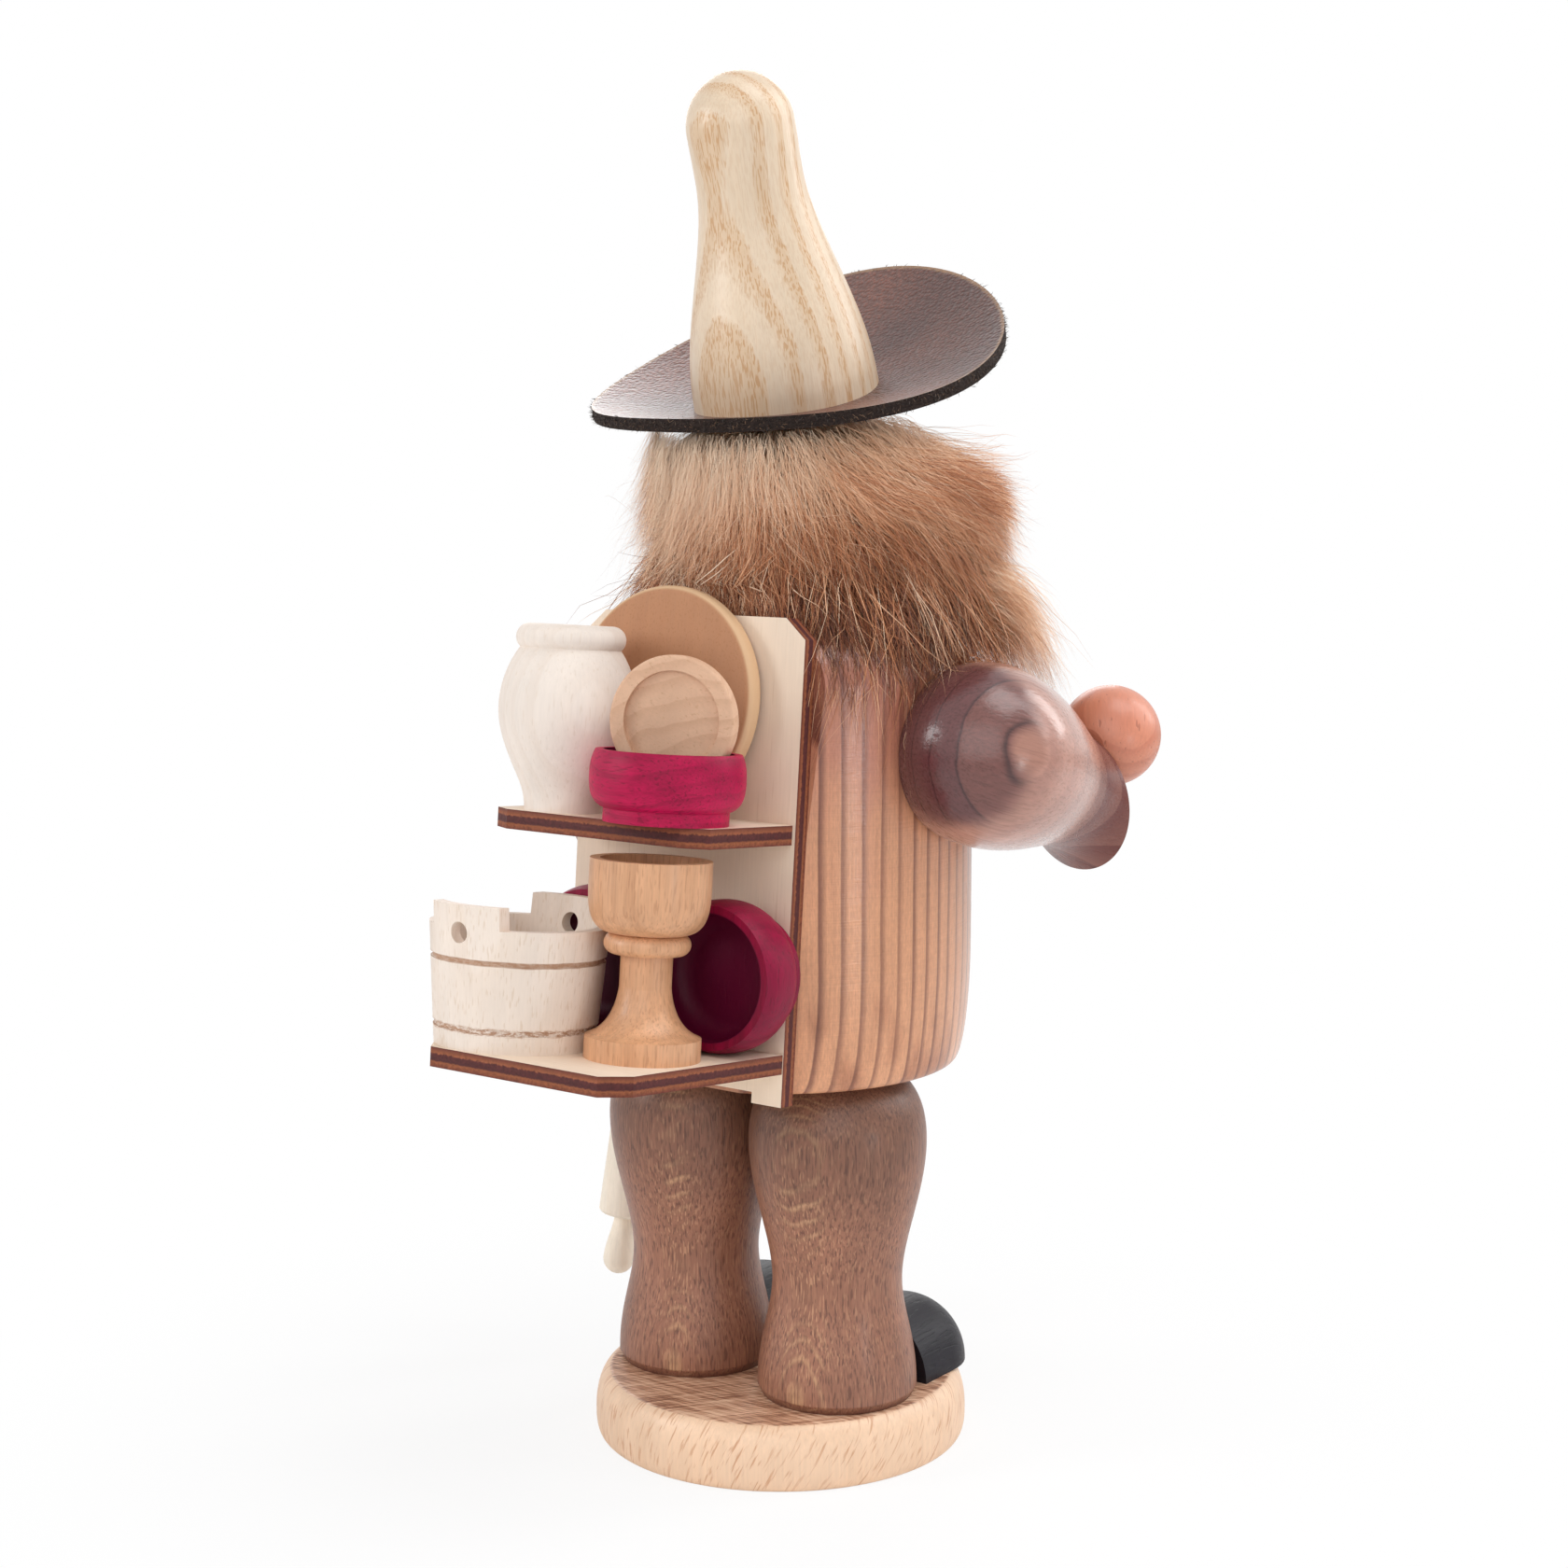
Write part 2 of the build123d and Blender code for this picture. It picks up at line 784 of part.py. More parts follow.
def bowl():
    """Turned bowl standing on the origin."""
    body = turned(
        Line(at(0, 0), at(bowl_foot_radius, 0)),
        Line(at(bowl_foot_radius, 0), at(bowl_foot_radius, bowl_foot_height)),
        Spline(
            at(bowl_foot_radius, bowl_foot_height),
            at(bowl_radius, bowl_widest_height),
            at(bowl_rim_radius, bowl_height),
            tangents=[(1, bowl_foot_slope), (-bowl_rim_draw, 1)],
        ),
        Line(at(bowl_rim_radius, bowl_height), at(bowl_mouth_radius, bowl_height)),
        Line(at(bowl_mouth_radius, bowl_height), at(0, bowl_height)),
        Line(at(0, bowl_height), at(0, 0)),
    )
    hollow = Cylinder(bowl_mouth_radius, bowl_depth, align=FLOOR)
    hollow = fillet(hollow.edges().filter_by(GeomType.CIRCLE).sort_by(Axis.Z)[0], bowl_depth / 2)
    return body - Pos(0, 0, bowl_height - bowl_depth) * hollow


def upper_bowl():
    return on_pack(Pos(upper_bowl_across, upper_bowl_out, upper_shelf_height) * bowl())


def leaning_bowl(across):
    """Bowl on its side on the lower shelf, with its foot against the board."""
    up = lower_shelf_height + bowl_radius + glue_gap
    return on_pack(Pos(across, glue_gap, up) * Rot(-90, 0, 0) * bowl())


def small_plate():
    """Plate with a turned recess, standing in the upper bowl."""
    plate = Cylinder(small_plate_radius, small_plate_thickness)
    plate = fillet(plate.edges().filter_by(GeomType.CIRCLE), small_plate_edge)
    recess = Cylinder(small_plate_radius - small_plate_rim, small_plate_recess, align=FLOOR)
    plate = plate - Pos(0, 0, small_plate_thickness / 2 - small_plate_recess) * recess
    up = upper_shelf_height + bowl_height - bowl_depth + small_plate_radius + loose_gap
    place = Pos(small_plate_across, upper_bowl_out, up)
    return on_pack(place * Rot(0, 0, small_plate_turn) * Rot(-90, 0, 0) * plate)


def goblet():
    ring_top = goblet_cup_height
    body = turned(
        Line(at(0, 0), at(goblet_foot_radius, 0)),
        Line(at(goblet_foot_radius, 0), at(goblet_foot_radius, goblet_foot_height)),
        Spline(
            at(goblet_foot_radius, goblet_foot_height),
            at(goblet_stem_radius, goblet_stem_height),
            tangents=[(-1, goblet_foot_slope), (-goblet_stem_draw, 1)],
        ),
        Line(at(goblet_stem_radius, goblet_stem_height), at(goblet_stem_radius, goblet_ring_height)),
        Line(at(goblet_stem_radius, goblet_ring_height), at(goblet_ring_edge, goblet_ring_height)),
        ThreePointArc(
            at(goblet_ring_edge, goblet_ring_height),
            at(goblet_ring_radius, (ring_top + goblet_ring_height) / 2),
            at(goblet_ring_edge, ring_top),
        ),
        Spline(
            at(goblet_ring_edge, ring_top),
            at(goblet_cup_radius, (ring_top + goblet_height) / 2),
            at(goblet_cup_radius, goblet_height),
            tangents=[(1, goblet_cup_slope), (0, 1)],
        ),
        Line(at(goblet_cup_radius, goblet_height), at(0, goblet_height)),
        Line(at(0, goblet_height), at(0, 0)),
    )
    hollow = Cylinder(goblet_mouth_radius, goblet_depth, align=FLOOR)
    body = body - Pos(0, 0, goblet_height - goblet_depth) * hollow
    return on_pack(Pos(goblet_across, goblet_out, lower_shelf_height) * body)


def tub():
    """Coopered tub with two drilled ears and two shallow hoop grooves."""
    flare = (tub_rim_radius - tub_foot_radius) / tub_height
    ear_top = tub_height + tub_ear_height
    ear_radius = tub_foot_radius + flare * ear_top
    body = turned(
        Line(at(0, 0), at(tub_foot_radius, 0)),
        Line(at(tub_foot_radius, 0), at(ear_radius, ear_top)),
        Line(at(ear_radius, ear_top), at(ear_radius - tub_wall, ear_top)),
        Line(at(ear_radius - tub_wall, ear_top), at(tub_foot_radius - tub_wall, tub_floor)),
        Line(at(tub_foot_radius - tub_wall, tub_floor), at(0, tub_floor)),
        Line(at(0, tub_floor), at(0, 0)),
    )
    beside_ear = (Align.MIN, Align.CENTER, Align.MIN)
    notch = Box(2 * ear_radius, 2 * ear_radius, tub_ear_height, align=beside_ear)
    for turn in (0, 180):
        body = body - Rot(0, 0, turn) * Pos(tub_ear_width / 2, 0, tub_height) * notch
    across = 2 * ear_radius
    hole_start = (0, -across, tub_ear_hole_height)
    body = body - rod(tub_ear_hole_radius, hole_start, (0, across, tub_ear_hole_height))
    for height in tub_hoop_heights:
        outer = tub_foot_radius + flare * height
        band = Cylinder(outer + tub_hoop_reach, tub_hoop_width)
        band = band - Cylinder(outer - tub_hoop_depth, tub_hoop_width)
        body = body - Pos(0, 0, height) * band
    return on_pack(Pos(tub_across, tub_out, lower_shelf_height) * body)


def nodes():
    """Every separate piece of the figure, by name."""
    right_place, left_place = leg_places()
    return {
        "base_disc": base_disc(),
        "right_leg": leg(right_place),
        "left_leg": leg(left_place),
        "right_shoe": shoe(right_place),
        "left_shoe": shoe(left_place),
        "leg_base_dowels": group(base_dowels(leg_dowel_radius)),
        "leg_hip_dowels": group(hip_dowels(leg_dowel_radius)),
        "hip_plug": hip_plug(),
        "incense_dish": incense_dish(),
        "torso": torso(),
        "head": head(),
        "nose": nose(),
        "hair_fur": hair_fur(),
        "beard_fur": beard_fur(),
        "moustache_fur": moustache_fur(),
        "hat_brim": hat_brim(),
        "hat_crown": hat_crown(),
        "hat_dowel": hat_peg(hat_dowel_radius),
        "right_arm": arm(right),
        "left_arm": arm(left),
        "right_hand": hand(right),
        "left_hand": left_hand(),
        "shoulder_dowels": group(shoulder_dowels(shoulder_dowel_radius)),
        "hand_pegs": group(hand_pegs(hand_peg_radius)),
        "rolling_pin": rolling_pin(),
        "pack_board": pack_board(),
        "upper_shelf": upper_shelf(),
        "lower_shelf": lower_shelf(),
        "jar": jar(),
        "large_plate": large_plate(),
        "small_plate": small_plate(),
        "upper_bowl": upper_bowl(),
        "right_leaning_bowl": leaning_bowl(right_bowl_across),
        "left_leaning_bowl": leaning_bowl(left_bowl_across),
        "goblet": goblet(),
        "tub": tub(),
    }


os.makedirs("parts", exist_ok=True)
for name, shape in nodes().items():
    export_step(shape, f"parts/{name}.step")
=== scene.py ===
import math

import bpy
import numpy as np
from mathutils import Euler, Matrix, Vector


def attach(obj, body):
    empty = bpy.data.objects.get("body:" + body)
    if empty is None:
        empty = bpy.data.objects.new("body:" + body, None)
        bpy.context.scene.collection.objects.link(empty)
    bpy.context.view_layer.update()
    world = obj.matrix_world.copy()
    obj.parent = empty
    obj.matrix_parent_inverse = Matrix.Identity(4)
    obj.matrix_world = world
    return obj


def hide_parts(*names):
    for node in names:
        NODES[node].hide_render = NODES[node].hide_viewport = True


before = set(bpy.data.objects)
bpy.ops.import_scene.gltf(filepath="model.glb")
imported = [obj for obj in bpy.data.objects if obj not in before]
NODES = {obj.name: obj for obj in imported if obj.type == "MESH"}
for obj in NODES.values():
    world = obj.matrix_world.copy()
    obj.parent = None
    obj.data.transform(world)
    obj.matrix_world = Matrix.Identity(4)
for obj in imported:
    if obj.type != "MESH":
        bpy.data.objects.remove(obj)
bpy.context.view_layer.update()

# Looks for the wooden smoker: materials for the turned pieces, fur for hair and beard, light and camera.
# Blender works in metres; sizes in this file are in millimetres unless a docstring says otherwise.

MM = 0.001

# Places and angles that the materials and the fur need, in millimetres and degrees.
# A turn counts from the back towards the figure's right side.
CAMERA_TURN = 36.0
BASE_RADIUS = 30.9
LEG_PLACE = (14.5, 4.3)
CALF_LEVEL = 31
HEAD_CENTRE = np.array([0.0, -5.5, 152.04])
HEAD_RADIUS = 19.5
HAT_HUB = np.array([0.0, -1.85, 170.34])
HAT_LEAN = 16.5
HAT_FRAME = (math.radians(-HAT_LEAN), 0.0, 0.0)
BRIM_CENTRE = (2.5, -7.6)
BRIM_RADIUS = 34.2
PACK_LEAN = 5.1
PACK_FRAME = (math.radians(PACK_LEAN), 0.0, 0.0)
PACK_ORIGIN = np.array([0.0, 29.312, 63.4])
PLY = 3.0
UPPER_SHELF = 43.0
LOWER_SHELF = 8.1
BOWL_LEVEL = 19.85

# Each sleeve's side, pitch and place
ARMS = {
    "right_arm": (-1, 18.0, (-37.6, -2.0, 115.54)),
    "left_arm": (1, 78.0, (37.6, -5.0, 115.54)),
}

# Rings, counted from the pith, that close round the heart of the sleeves and of the crown,
# the width of the crown's rings and how far its heart lies from its axis
SLEEVE_HEART = 16
CROWN_HEART = 21
CROWN_RING = 3.2
CROWN_HEART_OUT = 13.75

# Range that most of a noise lies in
NOISE_LOW = 0.3
NOISE_HIGH = 0.7

WOOD_BUMP = 0.6
LACQUER_ROUGHNESS = 0.19


def srgb(red, green, blue):
    """Linear colour from 0 to 255 values as a picture shows them."""
    values = []
    for value in (red, green, blue):
        value = value / 255
        values.append(value / 12.92 if value <= 0.04045 else ((value + 0.055) / 1.055) ** 2.4)
    return (*values, 1.0)


# Material building


class Nodes:
    """A node tree that is built anew."""

    def __init__(self, holder):
        holder.use_nodes = True
        self.tree = holder.node_tree
        self.tree.nodes.clear()

    def add(self, kind, inputs=None, **settings):
        node = self.tree.nodes.new(kind)
        for key, value in settings.items():
            setattr(node, key, value)
        for key, value in (inputs or {}).items():
            if isinstance(value, bpy.types.NodeSocket):
                self.tree.links.new(value, node.inputs[key])
            else:
                node.inputs[key].default_value = value
        return node

    def math(self, operation, first, second=0.0):
        return self.add("ShaderNodeMath", {0: first, 1: second}, operation=operation).outputs[0]


class Look(Nodes):
    """A material under construction; its calls add nodes and give back output sockets.
    Colours are sockets, or red, green and blue from 0 to 255 as a picture shows them."""

    def __init__(self, name):
        self.material = bpy.data.materials.new(name)
        super().__init__(self.material)
        self.coordinates = self.add("ShaderNodeTexCoord")

    def place(self, origin=(0, 0, 0), turn=(0, 0, 0)):
        """Position in millimetres in a frame with that origin and Euler turn."""
        inputs = {
            "Vector": self.coordinates.outputs["Object"],
            "Location": [value * MM for value in origin],
            "Rotation": turn,
            "Scale": (MM, MM, MM),
        }
        return self.add("ShaderNodeMapping", inputs, vector_type="TEXTURE").outputs[0]

    def facing(self, turn=(0, 0, 0)):
        """Surface direction in a frame with that Euler turn."""
        inputs = {"Vector": self.coordinates.outputs["Normal"], "Rotation": turn}
        return self.add("ShaderNodeMapping", inputs, vector_type="TEXTURE").outputs[0]

    def times(self, first, *rest):
        for value in rest:
            first = self.math("MULTIPLY", first, value)
        return first

    def plus(self, first, second):
        return self.math("ADD", first, second)

    def vector(self, operation, first, second=(0, 0, 0)):
        return self.add("ShaderNodeVectorMath", {0: first, 1: second}, operation=operation)

    def split(self, vector):
        return self.add("ShaderNodeSeparateXYZ", {0: vector}).outputs

    def join(self, x, y, z):
        return self.add("ShaderNodeCombineXYZ", {0: x, 1: y, 2: z}).outputs[0]

    def noise(self, vector, scale, detail=2.0, roughness=0.5, output="Fac"):
        """Smooth noise with that many features per millimetre along each axis."""
        stretched = self.add("ShaderNodeMapping", {"Vector": vector, "Scale": scale}).outputs[0]
        inputs = {"Vector": stretched, "Scale": 1.0, "Detail": detail, "Roughness": roughness}
        return self.add("ShaderNodeTexNoise", inputs).outputs[output]

    def cells(self, vector, scale):
        return self.add("ShaderNodeTexVoronoi", {"Vector": vector, "Scale": scale})

    def remap(self, value, low, high, to_low=0.0, to_high=1.0, kind="LINEAR"):
        """Value moved from one range to another and held inside it."""
        inputs = {"Value": value, "From Min": low, "From Max": high, "To Min": to_low, "To Max": to_high}
        return self.add("ShaderNodeMapRange", inputs, interpolation_type=kind).outputs[0]

    def ease(self, value, low, high, to_low=0.0, to_high=1.0):
        """The same as remap, with soft ends."""
        return self.remap(value, low, high, to_low, to_high, "SMOOTHSTEP")

    def between(self, noise, low, high):
        """Value from low to high that follows a noise over its usual range."""
        return self.remap(noise, NOISE_LOW, NOISE_HIGH, low, high)

    def mix(self, amount, first, second, blend="MIX"):
        first, second = (srgb(*value) if isinstance(value, tuple) else value for value in (first, second))
        inputs = {0: amount, 6: first, 7: second}
        return self.add("ShaderNodeMix", inputs, data_type="RGBA", blend_type=blend).outputs[2]

    def shade(self, colour, value):
        """Colour made darker or lighter by a grey value."""
        grey = self.add("ShaderNodeCombineColor", {0: value, 1: value, 2: value}).outputs[0]
        return self.mix(1.0, colour, grey, "MULTIPLY")

    def ramp(self, amount, *stops):
        node = self.add("ShaderNodeValToRGB", {0: amount})
        elements = node.color_ramp.elements
        while len(elements) < len(stops):
            elements.new(0.5)
        for element, (position, colour) in zip(elements, stops):
            element.position = position
            element.color = srgb(*colour)
        return node.outputs[0]

    def finish(self, colour, roughness, height=None, depth=0.1, strength=0.5, **constants):
        """Surface with bump from a height in units of depth, in millimetres."""
        inputs = {"Base Color": colour, "Roughness": roughness}
        for key, value in constants.items():
            inputs[key.replace("_", " ").title().replace("Ior", "IOR")] = value
        if height is not None:
            bump = {"Height": height, "Distance": depth * MM, "Strength": strength}
            inputs["Normal"] = self.add("ShaderNodeBump", bump).outputs[0]
            inputs["Coat Normal"] = inputs["Normal"]
        surface = self.add("ShaderNodeBsdfPrincipled", inputs).outputs[0]
        self.add("ShaderNodeOutputMaterial", {"Surface": surface})
        return self.material


class Grain:
    """Growth rings and fibres of one piece of wood. The trunk runs along local Z, and its pith lies
    a distance behind the piece along local Y, so that the rings close into ovals on the +Y side."""

    def __init__(self, look, origin, turn, pith, spacing, wander, fibre):
        self.look = look
        self.gloss = None
        self.position = look.place(origin, turn)
        slow = look.noise(self.position, (0.09, 0.09, 0.027), output="Color")
        shift = look.vector("SUBTRACT", slow, (0.5, 0.5, 0.5)).outputs[0]
        shift = look.vector("MULTIPLY", shift, (4 * wander, 4 * wander, 0)).outputs[0]
        x, y, _ = look.split(look.vector("ADD", self.position, shift).outputs[0])
        flat = look.join(x, look.plus(y, pith), 0.0)
        self.count = look.math("DIVIDE", look.vector("LENGTH", flat).outputs["Value"], spacing)
        self.part = look.math("FRACT", self.count)
        ring = {"W": look.math("FLOOR", self.count)}
        self.chance = look.add("ShaderNodeTexWhiteNoise", ring, noise_dimensions="1D").outputs["Value"]
        self.fibre = look.noise(self.position, (fibre, fibre, fibre * 0.035), 4.0, 0.65)
        self.patch = look.noise(self.position, (0.12, 0.12, 0.05))
        self.side, self.front, self.height = look.split(self.position)
        self.lathe = look.noise(look.join(0.0, 0.0, self.height), (1, 1, 3.5), 2.0, 0.6)

    def late(self, start, end=0.94):
        """Dark side of each ring: it grows from a share of the ring and ends sharply."""
        rise = self.look.ease(self.part, start, end)
        return self.look.times(rise, self.look.remap(self.part, end, 1.0, 1.0, 0.0))

    def dashes(self, across, along, low, high):
        """Short pores or flecks along the grain, as a mask."""
        noise = self.look.noise(self.position, (across, across, along), 1.0, 0.4)
        return self.look.ease(noise, low, high)


def wood(name, early, late, origin=(0, 0, 0), turn=(0, 0, 0), pith=45, spacing=3.0, rings=0.4, start=0.3,
         wander=1.0, fibre=2.4, streak=0.08, flecks=None, patches=0.06, rough=(0.42, 0.56), coat=0.0,
         shine=0.5, lathe=0.2, depth=0.05, paint=None):
    """Turned or sawn wood. flecks gives their number per millimetre across and along the grain, the
    range of the noise they start in, their strength and their colour. paint may change the colour, the
    height and the gloss of the grain, a share of the coat."""
    look = Look(name)
    grain = Grain(look, origin, turn, pith, spacing, wander, fibre)
    weight = look.remap(grain.chance, 0, 1, 0.55 * rings, rings)
    colour = look.mix(look.times(grain.late(start), weight), early, late)
    colour = look.shade(colour, look.between(grain.fibre, 1 - streak, 1 + streak))
    colour = look.shade(colour, look.between(grain.patch, 1 - patches, 1 + patches))
    height = look.times(grain.fibre, 0.6)
    height = look.plus(height, look.times(grain.lathe, lathe))
    if flecks:
        *dashes, strength, tint = flecks
        mask = look.times(grain.dashes(*dashes), strength)
        colour = look.mix(mask, colour, tint)
        height = look.math("SUBTRACT", height, mask)
    roughness = look.between(grain.fibre, *rough)
    if paint:
        colour, height = paint(look, grain, colour, height)
    lacquer = coat if grain.gloss is None else look.times(grain.gloss, coat)
    return look.finish(
        colour, roughness, height, depth, WOOD_BUMP, coat_weight=lacquer,
        coat_roughness=LACQUER_ROUGHNESS, specular_ior_level=shine,
    )


def add_object(name, data):
    added = bpy.data.objects.new(name, data)
    bpy.context.scene.collection.objects.link(added)
    return added


def use(material, *nodes):
    """Gives the named solids a material."""
    for node in nodes:
        slots = NODES[node].data.materials
        slots.clear()
        slots.append(material)


def upright(turn, lean=0.0):
    """Wood frame whose +Y side looks that many degrees from the back towards the right side, leaning back."""
    return (math.radians(lean), 0.0, math.radians(turn))


def turned_about(frame_turn, turn, lean=0.0):
    """Wood frame turned that many degrees about its own length, leaning back."""
    return tuple((Euler(frame_turn).to_matrix() @ Euler(upright(turn, lean)).to_matrix()).to_euler())


def laid(facing, along):
    """Wood frame whose +Y side looks one way and whose length runs as near as it can to another."""
    y = Vector(facing).normalized()
    z = (Vector(along) - y * y.dot(Vector(along))).normalized()
    return tuple(Matrix((y.cross(z), y, z)).transposed().to_euler())


# Materials of the stand


def base_paint(look, grain, colour, height):
    """Fine flecks that lean over round the side, and a browner top with fine crossed marks."""
    x, y, z = look.split(look.place())
    angle = look.math("ARCTAN2", y, x)
    lean = look.remap(x, -30, 30, -0.7, 0.2)
    around = look.plus(look.times(angle, BASE_RADIUS), look.times(z, lean))
    unrolled = look.join(around, z, 0.0)
    marks = look.noise(unrolled, (1.9, 0.24, 1), 2.0, 0.55)
    drift = look.noise(unrolled, (0.09, 0.09, 1), 1.0)
    fleck = look.times(look.ease(marks, 0.54, 0.66, 0.0, 0.8), look.remap(drift, 0.4, 0.6, 0.5, 1.0))
    side = look.mix(fleck, colour, (202, 146, 108))
    top = look.remap(look.split(look.facing())[2], 0.9, 0.985)
    arcs = look.noise(look.place((150, 40, 0)), (0.12, 1.5, 1), 3.0, 0.7)
    scratches = look.noise(look.place(turn=upright(-38)), (2.4, 0.1, 1), 3.0, 0.65)
    web = look.plus(look.times(arcs, 0.5), look.times(scratches, 0.5))
    brown = look.ramp(web, (0.41, (138, 93, 70)), (0.5, (206, 158, 127)), (0.6, (242, 207, 177)))
    height = look.math("SUBTRACT", height, fleck)
    return look.mix(top, side, brown), height


def base_look():
    return wood(
        "base_beech", (238, 204, 173), (228, 190, 156), turn=upright(CAMERA_TURN), pith=90,
        spacing=5.0, streak=0.06, paint=base_paint, rough=(0.4, 0.54), coat=0.1,
    )


def leg_paint(width):
    """Pale arcs of the rings within a width of where they close, ray flecks, painted shade on the top under
    the body and low on the leg, and a darker foot.
    """

    def paint(look, grain, colour, height):
        aside = look.math("ABSOLUTE", grain.side)
        gap = look.noise(look.join(0.0, 0.0, grain.height), (1, 1, 0.3))
        calf = look.math("ABSOLUTE", look.math("SUBTRACT", grain.height, CALF_LEVEL))
        arc = look.times(
            grain.late(0.45, 0.8), look.ease(aside, 0.3 * width, width, 0.85, 0.0),
            look.remap(gap, 0.38, 0.55, 0.25, 1.0), look.remap(grain.front, 0, 3),
            look.ease(calf, 4, 10, 0.12, 1.0), look.remap(grain.fibre, 0.38, 0.58, 0.3, 1.0),
        )
        colour = look.mix(arc, colour, (212, 166, 126))
        light = grain.dashes(3.4, 0.4, 0.57, 0.68)
        middle = look.remap(aside, 1.0, 1.6 * width, 0.7, 0.3)
        colour = look.mix(look.times(light, middle), colour, (200, 150, 116))
        # Painted shade: darker towards the top, under the body.
        colour = look.shade(colour, look.ease(grain.height, 36, 61, 1.0, 0.58))
        # Painted shade: a little darker low on the leg.
        colour = look.shade(colour, look.ease(grain.height, 10, 28, 0.9, 1.0))
        foot = look.remap(grain.height, 10.4, 11.9, 0.75, 0.0)
        return look.mix(foot, colour, (84, 48, 38)), height

    return paint


def leg_look(name, side, turn, width):
    """Stained leg whose rings close towards the given direction."""
    return wood(
        name, (153, 105, 83), (134, 89, 70), origin=(side * LEG_PLACE[0], LEG_PLACE[1], 0),
        turn=upright(turn), pith=58, spacing=0.66, rings=0.6, wander=0.55, start=0.35, streak=0.2,
        fibre=3.0, flecks=(3.6, 0.4, 0.53, 0.66, 0.6, (86, 52, 43)), patches=0.18,
        rough=(0.38, 0.5), coat=0.14, shine=0.4, lathe=0.3, paint=leg_paint(width),
    )


def shoe_look():
    return wood(
        "shoe_black", (27, 24, 31), (20, 18, 23), turn=(1.57, 0, 0), spacing=2.5,
        streak=0.25, rough=(0.36, 0.5), shine=0.24, depth=0.14,
        flecks=(2.0, 0.3, 0.58, 0.7, 0.5, (14, 14, 16)),
    )


def brass_look():
    look = Look("dish_brass")
    spots = look.noise(look.place(), (0.35, 0.35, 0.35), 4.0, 0.6)
    colour = look.ramp(spots, (0.35, (150, 116, 60)), (0.6, (206, 170, 96)))
    roughness = look.between(spots, 0.42, 0.24)
    return look.finish(colour, roughness, spots, 0.05, 0.3, metallic=1.0)


# Materials of the figure


def torso_paint(look, grain, colour, height):
    """Purple stain that is stronger at the shoulder, a darker foot and fine marks of the turning tool."""
    level = look.plus(grain.height, look.between(grain.patch, -9, 9))
    stain = look.ease(level, 88, 130)
    colour = look.mix(stain, colour, (208, 184, 198), "MULTIPLY")
    grain.gloss = look.ease(level, 88, 125, 0.55, 1.0)
    foot = look.ease(level, 63, 72, 0.6, 0.0)
    colour = look.mix(foot, colour, (190, 160, 150), "MULTIPLY")
    speckle = look.noise(grain.position, (3.4, 3.4, 1.0), 3.0, 0.6)
    colour = look.shade(colour, look.between(speckle, 0.9, 1.1))
    marks = look.noise(grain.position, (0.07, 0.07, 3.2), 3.0, 0.7)
    colour = look.shade(colour, look.remap(marks, 0.35, 0.65, 0.97, 1.03))
    return colour, look.plus(height, look.times(marks, 1.3))


def torso_look():
    """Softwood whose rings run straight up the body."""
    return wood(
        "torso_softwood", (214, 155, 117), (108, 58, 48), turn=upright(CAMERA_TURN - 54), pith=95.0,
        spacing=2.95, rings=0.85, start=0.55, wander=0.2, streak=0.1, fibre=2.6,
        rough=(0.26, 0.36), coat=0.9, shine=0.3, lathe=0.15, paint=torso_paint, depth=0.06,
    )


def sleeve_paint(origin, turn):
    """Dark stain on the shoulder end, paler in the ring next to the heart, and a dull stained cuff."""

    def paint(look, grain, colour, height):
        place = look.split(look.place(origin, turn))[2]
        along = look.plus(place, look.between(grain.patch, -1.0, 1.0))
        heart = look.remap(grain.count, SLEEVE_HEART, SLEEVE_HEART + 0.1)
        colour = look.mix(look.times(heart, 0.4), colour, (146, 104, 90))
        stain = look.times(look.ease(along, -8.6, -4.4, 0.96, 0.0), look.math("SUBTRACT", 1.0, heart))
        inner = look.remap(grain.count, SLEEVE_HEART - 1.05, SLEEVE_HEART - 0.95)
        end = look.mix(inner, (97, 57, 58), (112, 70, 65))
        end = look.shade(end, look.between(grain.fibre, 0.75, 1.25))
        end = look.mix(look.times(grain.late(0.88, 0.97), 0.75), end, (42, 20, 26))
        colour = look.mix(stain, colour, end)
        cuff = look.times(look.ease(along, 13, 22, 0.0, 0.95), look.remap(grain.part, 0, 1, 0.75, 1.0))
        grain.gloss = look.times(
            look.ease(along, 10, 20, 1.0, 0.08), look.remap(stain, 0, 1, 1.0, 0.75),
            look.remap(heart, 0, 1, 1.0, 0.35),
        )
        speckle = look.noise(grain.position, (1.6, 1.6, 0.6), 3.0, 0.6)
        height = look.plus(height, look.times(speckle, 1.2))
        return look.mix(cuff, colour, (103, 54, 50)), height

    return paint


def sleeve_look(name, origin, turn, grain_turn):
    return wood(
        name, (180, 132, 116), (152, 106, 94), origin=origin, turn=grain_turn, pith=40.5, spacing=3.4,
        rings=0.45, start=0.35, wander=0.5, streak=0.16, fibre=2.2, patches=0.12, rough=(0.24, 0.34),
        coat=1.0, shine=0.2, lathe=0.1, paint=sleeve_paint(origin, turn), depth=0.06,
    )


def hand_look():
    return wood(
        "hand_wood", (208, 133, 105), (188, 108, 82), turn=(0.5, 0.4, 0), spacing=2.4, rings=0.5,
        streak=0.07, flecks=(1.5, 0.16, 0.69, 0.75, 0.6, (156, 92, 70)),
        rough=(0.36, 0.48), coat=0.2,
    )


def spot(look, centre, radius, soft):
    """Round mask about a point, in millimetres."""
    away = look.vector("DISTANCE", look.place(), centre).outputs["Value"]
    return look.ease(away, radius - soft, radius + soft, 1.0, 0.0)


